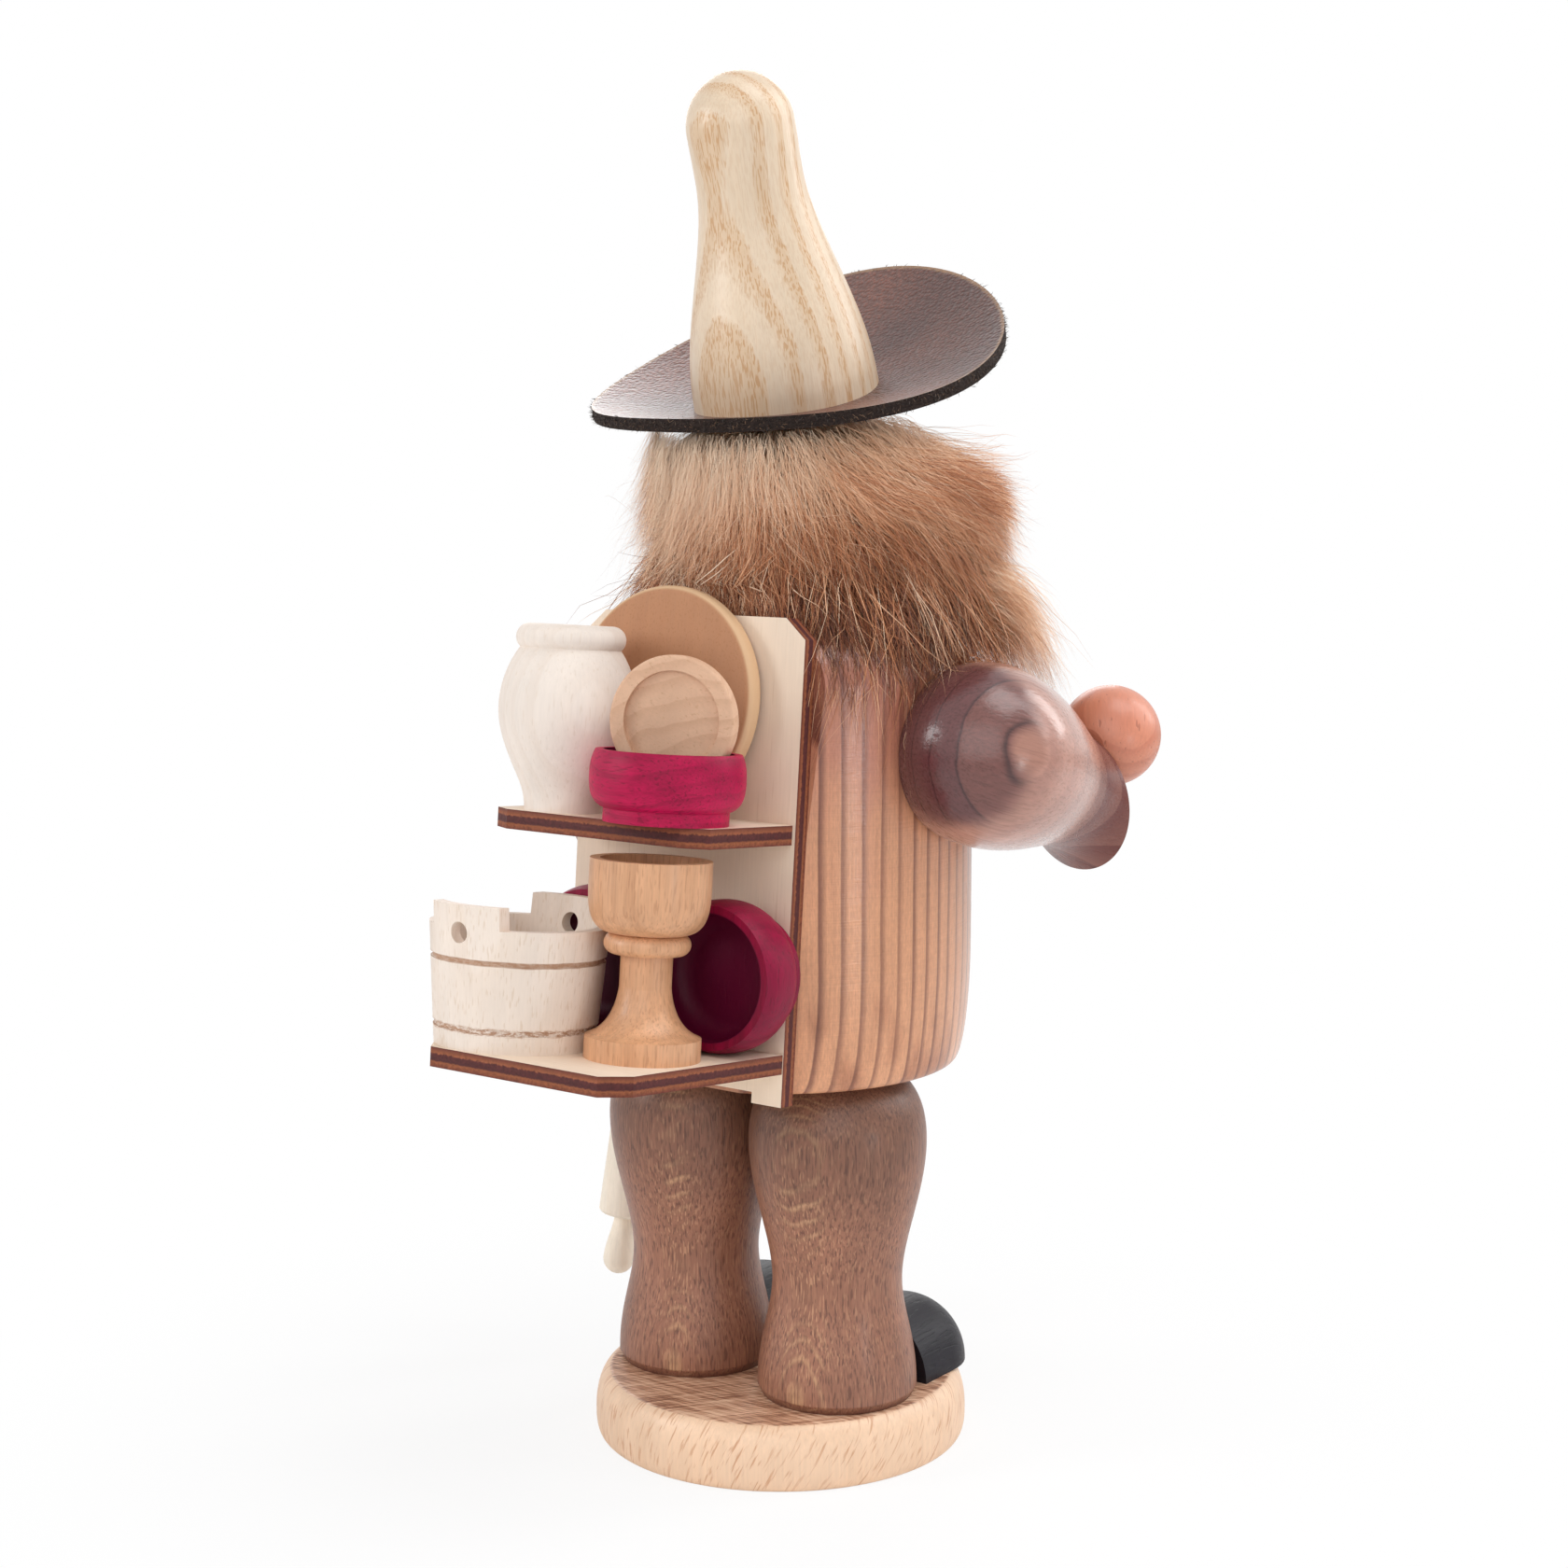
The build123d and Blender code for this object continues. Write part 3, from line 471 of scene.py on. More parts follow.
def face_paint(look, grain, colour, height):
    """Rosy cheeks and plain painted eyes on the front of the face."""
    for side in (-1, 1):
        cheek = look.times(spot(look, (side * 11.0, -21.5, 149.5), 4.6, 2.6), 0.5)
        colour = look.mix(cheek, colour, (214, 110, 88))
        colour = look.mix(spot(look, (side * 6.4, -23.2, 156.6), 1.7, 0.12), colour, (246, 242, 234))
        colour = look.mix(spot(look, (side * 6.3, -23.4, 156.4), 1.1, 0.1), colour, (38, 30, 30))
        glint = spot(look, (side * 6.3 - 0.4, -23.2, 156.9), 0.32, 0.08)
        colour = look.mix(glint, colour, (250, 250, 250))
    return colour, height


def face_look():
    return wood(
        "face_wood", (236, 192, 156), (222, 170, 132), spacing=2.8, streak=0.05,
        rough=(0.36, 0.48), coat=0.2, paint=face_paint,
    )


def crown_paint(look, grain, colour, height):
    """Ash: bands of open pores at the start of each ring and in the heart, with hardly any in between."""
    wavy = look.plus(grain.part, look.between(grain.fibre, -0.09, 0.09))
    band = look.times(look.remap(wavy, 0.0, 0.1), look.remap(wavy, 0.28, 0.62, 1.0, 0.0))
    heart = look.remap(grain.count, CROWN_HEART, CROWN_HEART + 0.08)
    band = look.math("MAXIMUM", band, look.times(heart, 0.75))
    colour = look.mix(look.times(band, 0.45), colour, (208, 168, 122))
    pores = grain.dashes(4.2, 0.42, 0.5, 0.6)
    dense = look.times(pores, look.remap(band, 0, 1, 0.14, 0.72))
    colour = look.mix(dense, colour, (194, 144, 94))
    return colour, look.math("SUBTRACT", height, look.times(dense, 0.5))


def crown_look():
    return wood(
        "crown_ash", (226, 205, 179), (218, 194, 165), origin=HAT_HUB,
        turn=turned_about(HAT_FRAME, CAMERA_TURN - 37, 4.0), pith=CROWN_HEART * CROWN_RING - CROWN_HEART_OUT,
        spacing=CROWN_RING, wander=0.45, start=0.4, streak=0.04, rough=(0.34, 0.44), coat=0.15,
        lathe=0.1, depth=0.09, paint=crown_paint,
    )


def leather_look():
    """Pebbled brown leather, with painted highlight on the pebbles and painted shade in their creases over
    its own tone, a tan line where it was cut and a dark fibrous edge and underside.
    """
    look = Look("brim_leather")
    position = look.place(HAT_HUB, HAT_FRAME)
    up = look.split(look.facing(HAT_FRAME))[2]
    pebble = look.cells(position, 1.35).outputs["Distance"]
    fine = look.noise(position, (2.2, 2.2, 2.2), 3.0, 0.6)
    broad = look.noise(position, (0.045, 0.045, 0.045), 1.0)
    colour = look.mix(look.remap(broad, 0.35, 0.65), (92, 56, 49), (124, 75, 61))
    # Pebble centres lighter and creases darker: the leather's own tone with painted highlight and shade on
    # the bumps.
    colour = look.shade(colour, look.remap(pebble, 0.1, 0.6, 1.2, 0.6))
    colour = look.shade(colour, look.between(fine, 0.9, 1.1))
    x, y, _ = look.split(position)
    reach = look.vector("DISTANCE", look.join(x, y, 0.0), (*BRIM_CENTRE, 0.0)).outputs["Value"]
    fibres = look.noise(position, (1.2, 1.2, 4.0), 4.0, 0.7)
    cut = look.mix(look.remap(fibres, 0.35, 0.65), (26, 20, 19), (54, 41, 36))
    ragged = look.plus(reach, look.between(fibres, -0.25, 0.25))
    colour = look.mix(look.remap(ragged, BRIM_RADIUS - 0.7, BRIM_RADIUS - 0.3), colour, (150, 116, 88))
    colour = look.mix(look.remap(up, 0.3, 0.6, 1.0, 0.0), colour, cut)
    height = look.math("SUBTRACT", look.times(fine, 0.5), pebble)
    top = look.remap(up, 0.3, 0.7)
    polish = look.times(top, look.ease(x, -8, 26, 0.65, 1.0))
    return look.finish(
        colour, look.remap(top, 0, 1, 0.8, 0.5), height, 0.4, 0.9, specular_ior_level=0.2,
        coat_weight=polish, coat_roughness=0.3,
    )


# Materials of the pack


def pack_place(across, out, up):
    return Euler(PACK_FRAME).to_matrix() @ Vector((across, out, up)) + Vector(PACK_ORIGIN)


def plywood_look(name, through, low, high, grain_turn):
    """Sawn plywood: pale faces, and edges burnt in three plies across the sheet from low to high."""

    def burn(look, grain, colour, height):
        position = look.place(PACK_ORIGIN, PACK_FRAME)
        ply = look.remap(look.split(position)[through], low, high)
        facing = look.math("ABSOLUTE", look.split(look.facing(PACK_FRAME))[through])
        edge = look.remap(facing, 0.6, 0.8, 1.0, 0.0)
        scorch = look.noise(position, (1.6, 1.6, 1.6), 4.0, 0.7)
        wavy = look.plus(ply, look.between(scorch, -0.05, 0.05))
        burnt = look.ramp(
            wavy, (0.0, (104, 50, 38)), (0.27, (146, 84, 52)), (0.35, (74, 32, 32)),
            (0.65, (84, 38, 36)), (0.72, (146, 84, 54)), (1.0, (98, 48, 40)),
        )
        burnt = look.shade(burnt, look.between(scorch, 0.7, 1.3))
        return look.mix(edge, colour, burnt), height

    return wood(
        name, (238, 219, 198), (230, 207, 182), origin=PACK_ORIGIN, turn=grain_turn, pith=120,
        spacing=7.0, streak=0.035, rough=(0.56, 0.7), shine=0.3, patches=0.03,
        flecks=(2.6, 0.12, 0.64, 0.74, 0.3, (204, 176, 146)), paint=burn,
    )


def across_frame():
    """Wood frame whose length runs across the pack."""
    return turned_about((math.radians(PACK_LEAN), math.radians(90), 0.0), 90)


def ware(name, early, late, across, out, up, turn=CAMERA_TURN, lying=False, **options):
    """Wood of a ware at a place on the pack, its grain standing or lying across the pack."""
    frame_turn = across_frame() if lying else turned_about(PACK_FRAME, turn)
    return wood(name, early, late, origin=pack_place(across, out, up), turn=frame_turn, pith=34, **options)


def jar_look():
    return ware(
        "jar_wood", (238, 226, 215), (231, 215, 201), 11.0, 16.0, UPPER_SHELF, turn=62, spacing=2.6,
        rough=(0.52, 0.66), shine=0.35, streak=0.035, lathe=0.3,
        flecks=(3.0, 0.35, 0.62, 0.74, 0.25, (212, 190, 164)),
    )


def tub_paint(look, grain, colour, height):
    """Hoop lines burnt into the tub, broken and wider on the lower hoop where the tool skipped."""
    wander = look.noise(grain.position, (0.3, 0.3, 0.3))
    skip = look.noise(grain.position, (0.9, 0.9, 2.5), 4.0, 0.8)
    for hoop, width, firm in ((3.2, 0.75, 0.05), (13.4, 0.55, 0.75)):
        away = look.math("SUBTRACT", grain.height, look.between(wander, hoop - 0.12, hoop + 0.12))
        line = look.ease(look.math("ABSOLUTE", away), 0.4 * width, width, 0.85, 0.0)
        line = look.times(line, look.remap(skip, 0.44, 0.54, firm, 1.0))
        colour = look.mix(line, colour, (172, 124, 88))
    return colour, height


def tub_look():
    return ware(
        "tub_wood", (235, 221, 208), (227, 208, 190), 10.8, 24.9, LOWER_SHELF, turn=20, spacing=3.4,
        rough=(0.5, 0.64), shine=0.35, streak=0.035, paint=tub_paint,
        flecks=(3.4, 0.5, 0.58, 0.72, 0.4, (210, 184, 156)),
    )


def goblet_look():
    return ware(
        "goblet_wood", (213, 161, 121), (194, 141, 102), -9.9, 20.0, LOWER_SHELF, turn=70, spacing=2.6,
        rings=0.5, rough=(0.36, 0.48), coat=0.1, lathe=0.35, streak=0.13, patches=0.12,
        flecks=(3.2, 0.4, 0.55, 0.68, 0.5, (174, 122, 84)),
    )


def bowl_look(name, across, out, up, leaning):
    """Crimson stain over fine grain, with painted shade over a deeper stain inside a bowl that stands on a
    shelf or leans on the board, and painted shade as a darker crimson on the leaning bowls.
    """

    def painted_hollow_shade(look, grain, colour, height):
        x, y, z = look.split(look.place(pack_place(across, out, up), PACK_FRAME))
        depth, aside = (y, z) if leaning else (z, y)
        reach = look.vector("LENGTH", look.join(x, aside, 0.0)).outputs["Value"]
        # Painted shade, with a deeper stain, inside the bowl.
        inside = look.times(look.remap(reach, 9.7, 9.95, 1.0, 0.0), look.remap(depth, 4.0, 4.6))
        return look.mix(inside, colour, (96, 4, 44)), height

    # The leaning bowls get a darker copy of the crimson: painted shade.
    early, late = ((138, 8, 54), (112, 5, 44)) if leaning else ((178, 11, 70), (146, 6, 57))
    return ware(
        name, early, late, across, out, up, turn=80, lying=not leaning, spacing=2.2, rings=0.6,
        streak=0.2, fibre=2.6, flecks=(2.8, 0.4, 0.58, 0.7, 0.5, (98, 4, 38)), patches=0.24,
        rough=(0.42, 0.54), shine=0.22, lathe=0.35, paint=painted_hollow_shade,
    )


def plate_edge(look, grain, colour, height):
    """Paler turned edge of the flat plate."""
    out = look.math("ABSOLUTE", look.split(look.facing(PACK_FRAME))[1])
    return look.mix(look.remap(out, 0.75, 0.95, 0.85, 0.0), colour, (226, 190, 150)), height


def plate_looks():
    large = ware(
        "large_plate_wood", (188, 136, 100), (180, 126, 90), 2.8, 1.5, 60.6, rough=(0.56, 0.7),
        rings=0.2, streak=0.03, shine=0.3, paint=plate_edge,
        flecks=(3.2, 2.4, 0.56, 0.7, 0.35, (168, 116, 78)),
    )
    small = wood(
        "small_plate_wood", (216, 176, 146), (196, 152, 122), origin=pack_place(-10.9, 17.6, 57.6),
        turn=(1.2, 0.6, 0.9), pith=16, spacing=2.4, rings=0.55, rough=(0.5, 0.64), shine=0.3, streak=0.05,
        flecks=(2.4, 0.35, 0.62, 0.74, 0.35, (184, 138, 104)),
    )
    return large, small


def plain_wood(name, early, late, rough=(0.5, 0.62)):
    return wood(name, early, late, spacing=2.4, streak=0.06, rough=rough)


def dress_arms():
    """The rings of each sleeve close on its outer side behind the shoulder."""
    for name, (side, pitch, place) in ARMS.items():
        turn = (math.radians(90 + pitch), 0.0, 0.0)
        arm = Euler(turn).to_matrix()
        heart = Vector((side * 0.845, -0.046, -0.526))
        grain_turn = laid(arm @ heart, arm @ Vector((0, 0, 1)))
        use(sleeve_look(name + "_walnut", place, turn, grain_turn), name)


def dress_pack():
    use(plywood_look("board_plywood", 1, -PLY, 0.0, PACK_FRAME), "pack_board")
    use(plywood_look("upper_plywood", 2, UPPER_SHELF - PLY, UPPER_SHELF, across_frame()), "upper_shelf")
    use(plywood_look("lower_plywood", 2, LOWER_SHELF - PLY, LOWER_SHELF, across_frame()), "lower_shelf")
    use(jar_look(), "jar")
    use(tub_look(), "tub")
    use(goblet_look(), "goblet")
    use(bowl_look("upper_bowl_red", -10.3, 17.6, UPPER_SHELF, False), "upper_bowl")
    use(bowl_look("right_bowl_red", -14.4, 0.0, BOWL_LEVEL, True), "right_leaning_bowl")
    use(bowl_look("left_bowl_red", 9.9, 0.0, BOWL_LEVEL, True), "left_leaning_bowl")
    large, small = plate_looks()
    use(large, "large_plate")
    use(small, "small_plate")


def dress_solids():
    """Gives every solid but the fur its wood, leather or brass."""
    use(base_look(), "base_disc")
    use(leg_look("right_leg_stain", -1, CAMERA_TURN - 28, 5.5), "right_leg")
    use(leg_look("left_leg_stain", 1, CAMERA_TURN - 12, 3.0), "left_leg")
    use(shoe_look(), "right_shoe", "left_shoe")
    use(plain_wood("plug_wood", (208, 172, 130), (186, 146, 104)), "hip_plug")
    dowel = plain_wood("dowel_wood", (216, 184, 144), (196, 160, 118))
    use(dowel, "leg_base_dowels", "leg_hip_dowels", "hat_dowel", "shoulder_dowels", "hand_pegs")
    use(brass_look(), "incense_dish")
    use(torso_look(), "torso")
    dress_arms()
    use(hand_look(), "right_hand", "left_hand")
    use(face_look(), "head")
    use(plain_wood("nose_wood", (226, 150, 116), (208, 128, 96), rough=(0.34, 0.44)), "nose")
    use(crown_look(), "hat_crown")
    use(leather_look(), "hat_brim")
    use(plain_wood("pin_wood", (251, 239, 221), (243, 225, 201)), "rolling_pin")
    dress_pack()


dress_solids()


# Fur: tapered flat hairs laid in rings round the head, kept off the solids they lie on

# Solids that the hairs keep off; the brim's bend is its rise for each square of the distance from the hub
TORSO_RADIUS = 31.4
TORSO_TOP = 135.2
SHOULDER_ROUND = 9.0
ARM_RADIUS = 14.7
BOARD_TOP = 137.6
BOARD_HALF = 21.6
BOARD_MARGIN = 4
BOARD_GAP = 0.4
HEAD_GAP = 0.1
BRIM_BEND = (0.0021, 0.0061)
BRIM_DROP = 1.98
BRIM_GAP = 0.2
MOUTH_HALF = 4.6
MOUTH_FOOT = 140.6

# Hairs: the points on each, their shares of its length, the width of its tip, the share of loose hairs
# and the first seed of the pieces
STEPS = 9
ALONG = np.linspace(0, 1, STEPS)[:, None]
TIP_WIDTH = 0.1
LOOSE_SHARE = 0.06
FUR_SEED = 60

# Coat: the levels its rows are given at, its lower start at the temples, the depth of its roots and its sag
COAT_LEVELS = (169, 156, 147, 139)
TEMPLES = (70, 140)
TEMPLE_DROP = 15
COAT_DEPTH = 2.2
COAT_SAG = 0.22


def smooth_noise(points, seed, scale):
    """Smooth vector field over points, the same for each seed."""
    rng = np.random.default_rng(seed)
    total = np.zeros_like(points)
    for octave in range(4):
        waves = rng.normal(0, 1, (3, 3)) * scale * (1.7 ** octave)
        phase = rng.uniform(0, 2 * np.pi, 3)
        total += np.sin(points @ waves.T + phase) / (1.5 ** octave)
    return total / 2.2


def push_from_ball(points, centre, radius):
    away = points - np.array(centre)
    far = np.maximum(np.linalg.norm(away, axis=1), 1e-6)
    inside = far < radius
    points[inside] = np.array(centre) + away[inside] * (radius / far[inside])[:, None]


def push_from_torso(points):
    reach = np.maximum(np.hypot(points[:, 0], points[:, 1]), 1e-6)
    core = TORSO_RADIUS - SHOULDER_ROUND
    shoulder = TORSO_TOP - SHOULDER_ROUND
    top = (reach < core) & (points[:, 2] < TORSO_TOP)
    over = np.stack([reach - core, points[:, 2] - shoulder], 1)
    length = np.maximum(np.linalg.norm(over, axis=1), 1e-6)
    bend = (reach >= core) & (points[:, 2] > shoulder) & (length < SHOULDER_ROUND)
    side = (reach >= core) & (points[:, 2] <= shoulder) & (reach < TORSO_RADIUS)
    scale = SHOULDER_ROUND / length
    points[bend, :2] *= ((core + over[:, 0] * scale) / reach)[bend, None]
    points[bend, 2] = (shoulder + over[:, 1] * scale)[bend]
    points[side, :2] *= (TORSO_RADIUS / reach)[side, None]
    points[top, 2] = TORSO_TOP


def push_from_board(points):
    lean = math.tan(math.radians(PACK_LEAN))
    inner = PACK_ORIGIN[1] - (points[:, 2] - PACK_ORIGIN[2]) * lean - PLY - BOARD_GAP
    across = np.abs(points[:, 0]) < BOARD_HALF
    behind = across & (points[:, 2] < BOARD_TOP + BOARD_MARGIN) & (points[:, 1] > inner)
    points[behind, 1] = inner[behind]


def over_brim(points):
    """Height of points above the underside of the bent brim, along the hat's axis."""
    tilt = math.radians(HAT_LEAN)
    axis = np.array([0, math.sin(tilt), math.cos(tilt)])
    back = np.array([0, math.cos(tilt), -math.sin(tilt)])
    out = points - HAT_HUB
    under = BRIM_BEND[0] * out[:, 0] ** 2 + BRIM_BEND[1] * (out @ back) ** 2 - BRIM_DROP
    return out @ axis - under, axis


def push_from_brim(points):
    above, axis = over_brim(points)
    high = above > -BRIM_GAP
    points[high] -= axis * (above[high, None] + BRIM_GAP)


def keep_off(points):
    """Moves points that lie in the head, body, arms, board or hat out to their surfaces."""
    push_from_ball(points, HEAD_CENTRE, HEAD_RADIUS + HEAD_GAP)
    push_from_torso(points)
    for _, _, place in ARMS.values():
        push_from_ball(points, place, ARM_RADIUS)
    push_from_board(points)
    push_from_brim(points)
    return points


def round_head(turn, reach, level):
    """Points at an angle from the back to the right side, a distance from the head's axis and a height."""
    angle = np.radians(turn)
    x = -np.sin(angle) * reach
    y = HEAD_CENTRE[1] + np.cos(angle) * reach
    return np.stack([x, y, level], -1)


def head_reach(level):
    """Reach of the head's surface at a height, with a least reach at its poles."""
    least_square = 60
    return np.sqrt(np.maximum(HEAD_RADIUS ** 2 - (level - HEAD_CENTRE[2]) ** 2, least_square))


def read_rows(rows, count, rng):
    """Random turns within the rows, and the values of the rows at each."""
    turns, *columns = np.array(rows, float).T
    turn = rng.uniform(turns[0], turns[-1], count)
    return turn, [np.interp(turn, turns, column) for column in columns]


def comb(count, rng, roots, rows, spread):
    """Hairs from a band of roots, and their tones. Each row gives, for a turn, the reach and height of
    the middle of a hair, the sweep, reach and height of its tip, and its tone from pale to dark."""
    turn, values = read_rows(rows, count, rng)
    mid_reach, mid_level, sweep, tip_reach, tip_level, tone = values
    level = rng.uniform(*roots, count)
    lift = 4 * ((level - roots[0]) / (roots[1] - roots[0]) - 0.5)
    root = np.stack([turn, head_reach(level), level], 1)
    middle = np.stack([turn + 0.3 * sweep, mid_reach, mid_level + lift], 1)
    tip = np.stack([turn + sweep, tip_reach, tip_level + lift], 1)
    middle += rng.normal(0, 1, (count, 3)) * np.array([spread[0] * 0.3, spread[1] * 0.6, spread[2] * 0.3])
    tip += rng.normal(0, 1, (count, 3)) * np.array(spread)
    share = ALONG * rng.uniform(0.7, 1.0, (count, 1, 1))
    bow = (1 - share) ** 2 * root[:, None] + 2 * share * (1 - share) * middle[:, None]
    bow = bow + share ** 2 * tip[:, None]
    return round_head(bow[..., 0], bow[..., 1], bow[..., 2]), tone


def gather(paths, rng, clumps, pull):
    """Draws the tips of neighbouring hairs together into locks."""
    leaders = paths[rng.choice(len(paths), clumps, replace=False)]
    middle = STEPS // 2
    batch = 1000
    nearest = np.empty(len(paths), int)
    for start in range(0, len(paths), batch):
        some = paths[start:start + batch, middle]
        apart = np.linalg.norm(some[:, None] - leaders[None, :, middle], axis=2)
        nearest[start:start + batch] = apart.argmin(1)
    strength = rng.uniform(*pull, (len(paths), 1, 1)) * ALONG ** 1.4
    return paths + (leaders[nearest] - paths) * strength


def ruffle(paths, rng, seed, waver, stray):
    """Adds slow waves shared by neighbours, a little of each hair's own bend and some loose hairs."""
    count = len(paths)
    points = paths.reshape(-1, 3)
    shared = smooth_noise(points, seed, 0.1) + 0.5 * smooth_noise(points, seed + 1, 0.3)
    own = rng.normal(0, stray, (count, 1, 3)) * ALONG ** 1.5
    curl = rng.normal(0, 0.5 * stray, (count, 1, 3)) * np.sin(np.pi * ALONG)
    chosen = rng.uniform(0, 1, (count, 1, 1)) < LOOSE_SHARE
    loose = chosen * rng.normal(0, 2.0, (count, 1, 3)) * ALONG ** 1.5
    moved = paths + shared.reshape(paths.shape) * waver * ALONG + own + curl + loose
    return keep_off(moved.reshape(-1, 3)).reshape(paths.shape)


def shaded(tone, rng, fade, vary):
    """Tones along each hair: darker by fade from root to tip, and a little different for each hair."""
    own = rng.normal(0, vary, (len(tone), 1))
    return np.clip(tone[:, None] + fade * (ALONG[:, 0] - 0.5) + own, 0, 1)


def layer(count, seed, roots, rows, spread=(8.0, 1.4, 3.2), fade=0.25, vary=0.1, clumps=0.06,
          pull=(0.1, 0.6), waver=1.7, stray=0.8, width=(0.1, 0.17)):
    """Combed, gathered and ruffled hairs that get darker by fade from root to tip, with their widths."""
    rng = np.random.default_rng(seed)
    paths, tone = comb(count, rng, roots, rows, spread)
    paths = gather(paths, rng, max(8, int(count * clumps)), pull)
    paths = ruffle(paths, rng, seed, waver, stray)
    return paths, shaded(tone, rng, fade, vary), rng.uniform(*width, count)


def fur_reach(place, rows):
    """Reach of the fur at a place from 0 to 3 between the four levels of its rows."""
    each = np.arange(len(place))
    below = np.minimum(place.astype(int), 2)
    upper, lower = rows[each, below], rows[each, below + 1]
    return upper + (lower - upper) * (place - below)


def slanted(turn, slant, lift):
    """Directions down the fur, at an angle from plumb and lifted off it by a share."""
    angle = np.radians(turn)
    none = np.zeros(len(turn))
    outward = np.stack([-np.sin(angle), np.cos(angle), none], 1)
    sideways = np.stack([-np.cos(angle), -np.sin(angle), none], 1)
    way = sideways * np.sin(slant)[:, None] + outward * lift
    way[:, 2] -= np.cos(slant)
    return way


def coat(count, seed, rows, length, width):
    """Short soft hairs all over the outside of the fur. Each row gives, for a turn, the reach of the fur
    at four levels, the slant of the hairs from plumb in degrees, and the tone at the top and the foot.
    The coat starts lower at the temples."""
    rng = np.random.default_rng(seed)
    turn, (*reaches, lean, high_tone, low_tone) = read_rows(rows, count, rng)
    top = COAT_LEVELS[0] - np.interp(np.abs(turn), TEMPLES, (0, TEMPLE_DROP))
    level = COAT_LEVELS[-1] + (top - COAT_LEVELS[-1]) * rng.beta(1.9, 0.95, count)
    place = np.interp(-level, [-value for value in COAT_LEVELS], range(4))
    reach = fur_reach(place, np.stack(reaches, 1))
    tufts = smooth_noise(round_head(turn, 30.0, level), seed + 5, 0.11)
    across = np.radians(turn) * reach + np.tan(np.radians(lean)) * (level - COAT_LEVELS[0])
    locks = smooth_noise(np.stack([across, 0.25 * level, 0 * level], 1), seed + 9, 0.55)
    root = round_head(turn, reach - COAT_DEPTH + 0.8 * tufts[:, 0] + 0.5 * locks[:, 0], level)
    slant = np.radians(lean + rng.normal(0, 15, count) + (8 + 8 * place) * tufts[:, 1])
    way = slanted(turn, slant, rng.uniform(0.1, 0.55, (count, 1)))
    long = rng.uniform(*length, (count, 1, 1))
    paths = root[:, None] + way[:, None] * ALONG * long
    paths[..., 2] -= (COAT_SAG * long * ALONG ** 2)[..., 0]
    paths = ruffle(paths, rng, seed, 0.9, 0.6)
    tone = high_tone + (low_tone - high_tone) * (place / 3) ** 0.9
    tone += (0.03 + 0.03 * place) * (tufts[:, 2] - 1.1 * locks[:, 0])
    under_brim = over_brim(root)[0] < -0.1
    widths = rng.uniform(*width, count)
    return paths[under_brim], shaded(tone, rng, 0.12, 0.06)[under_brim], widths[under_brim]


def hair_mesh(name, paths, tones, width, seed):
    """One mesh of flat tapered hairs; an attribute holds each point's tone and each hair's chance value."""
    rng = np.random.default_rng(seed)
    count = len(paths)
    tangent = np.gradient(paths, axis=1)
    facing = rng.normal(0, 1, (count, 1, 3)) + (paths - HEAD_CENTRE) * 0.16
    across = np.cross(tangent, facing)
    across /= np.maximum(np.linalg.norm(across, axis=2, keepdims=True), 1e-9)
    taper = TIP_WIDTH + (1 - TIP_WIDTH) * (1 - ALONG ** 2.5)
    half = 0.5 * width[:, None, None] * taper
    verts = np.stack([paths - across * half, paths + across * half], 2).reshape(-1, 3) * MM
    base = (np.arange(count) * STEPS * 2)[:, None] + np.arange(STEPS - 1) * 2
    faces = np.stack([base, base + 1, base + 3, base + 2], -1).reshape(-1, 4)
    mesh = bpy.data.meshes.new(name)
    mesh.from_pydata(verts.tolist(), [], faces.tolist())
    data = np.ones((count, STEPS, 2, 4), np.float32)
    data[..., 0] = tones[:, :, None]
    data[..., 1] = rng.uniform(0, 1, (count, 1, 1))
    colours = mesh.attributes.new("hair_tone", "FLOAT_COLOR", "POINT")
    colours.data.foreach_set("color", data.reshape(-1))
    mesh.polygons.foreach_set("use_smooth", [True] * len(mesh.polygons))
    return mesh


def fur_look(name, *stops):
    """Hair whose tone runs through the given colours, each hair a little different."""
    look = Look(name)
    stored = look.add("ShaderNodeAttribute", attribute_name="hair_tone", attribute_type="GEOMETRY")
    parts = look.add("ShaderNodeSeparateColor", {0: stored.outputs["Color"]}).outputs
    tone = look.plus(parts[0], look.remap(parts[1], 0, 1, -0.08, 0.08))
    roughness = look.remap(parts[1], 0, 1, 0.4, 0.6)
    return look.finish(
        look.ramp(tone, *stops), roughness, specular_ior_level=0.25, sheen_weight=0.12, sheen_roughness=0.5,
        sheen_tint=srgb(255, 226, 190),
    )


def strand_piece(name, hairs, seed, look, replaced=None):
    """A piece of hairs on the upper figure, in place of a solid if one is named."""
    mesh = hair_mesh(name, *hairs, seed)
    mesh.materials.append(look)
    piece = add_object(name, mesh)
    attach(piece, "upper_figure")
    if replaced:
        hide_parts(replaced)


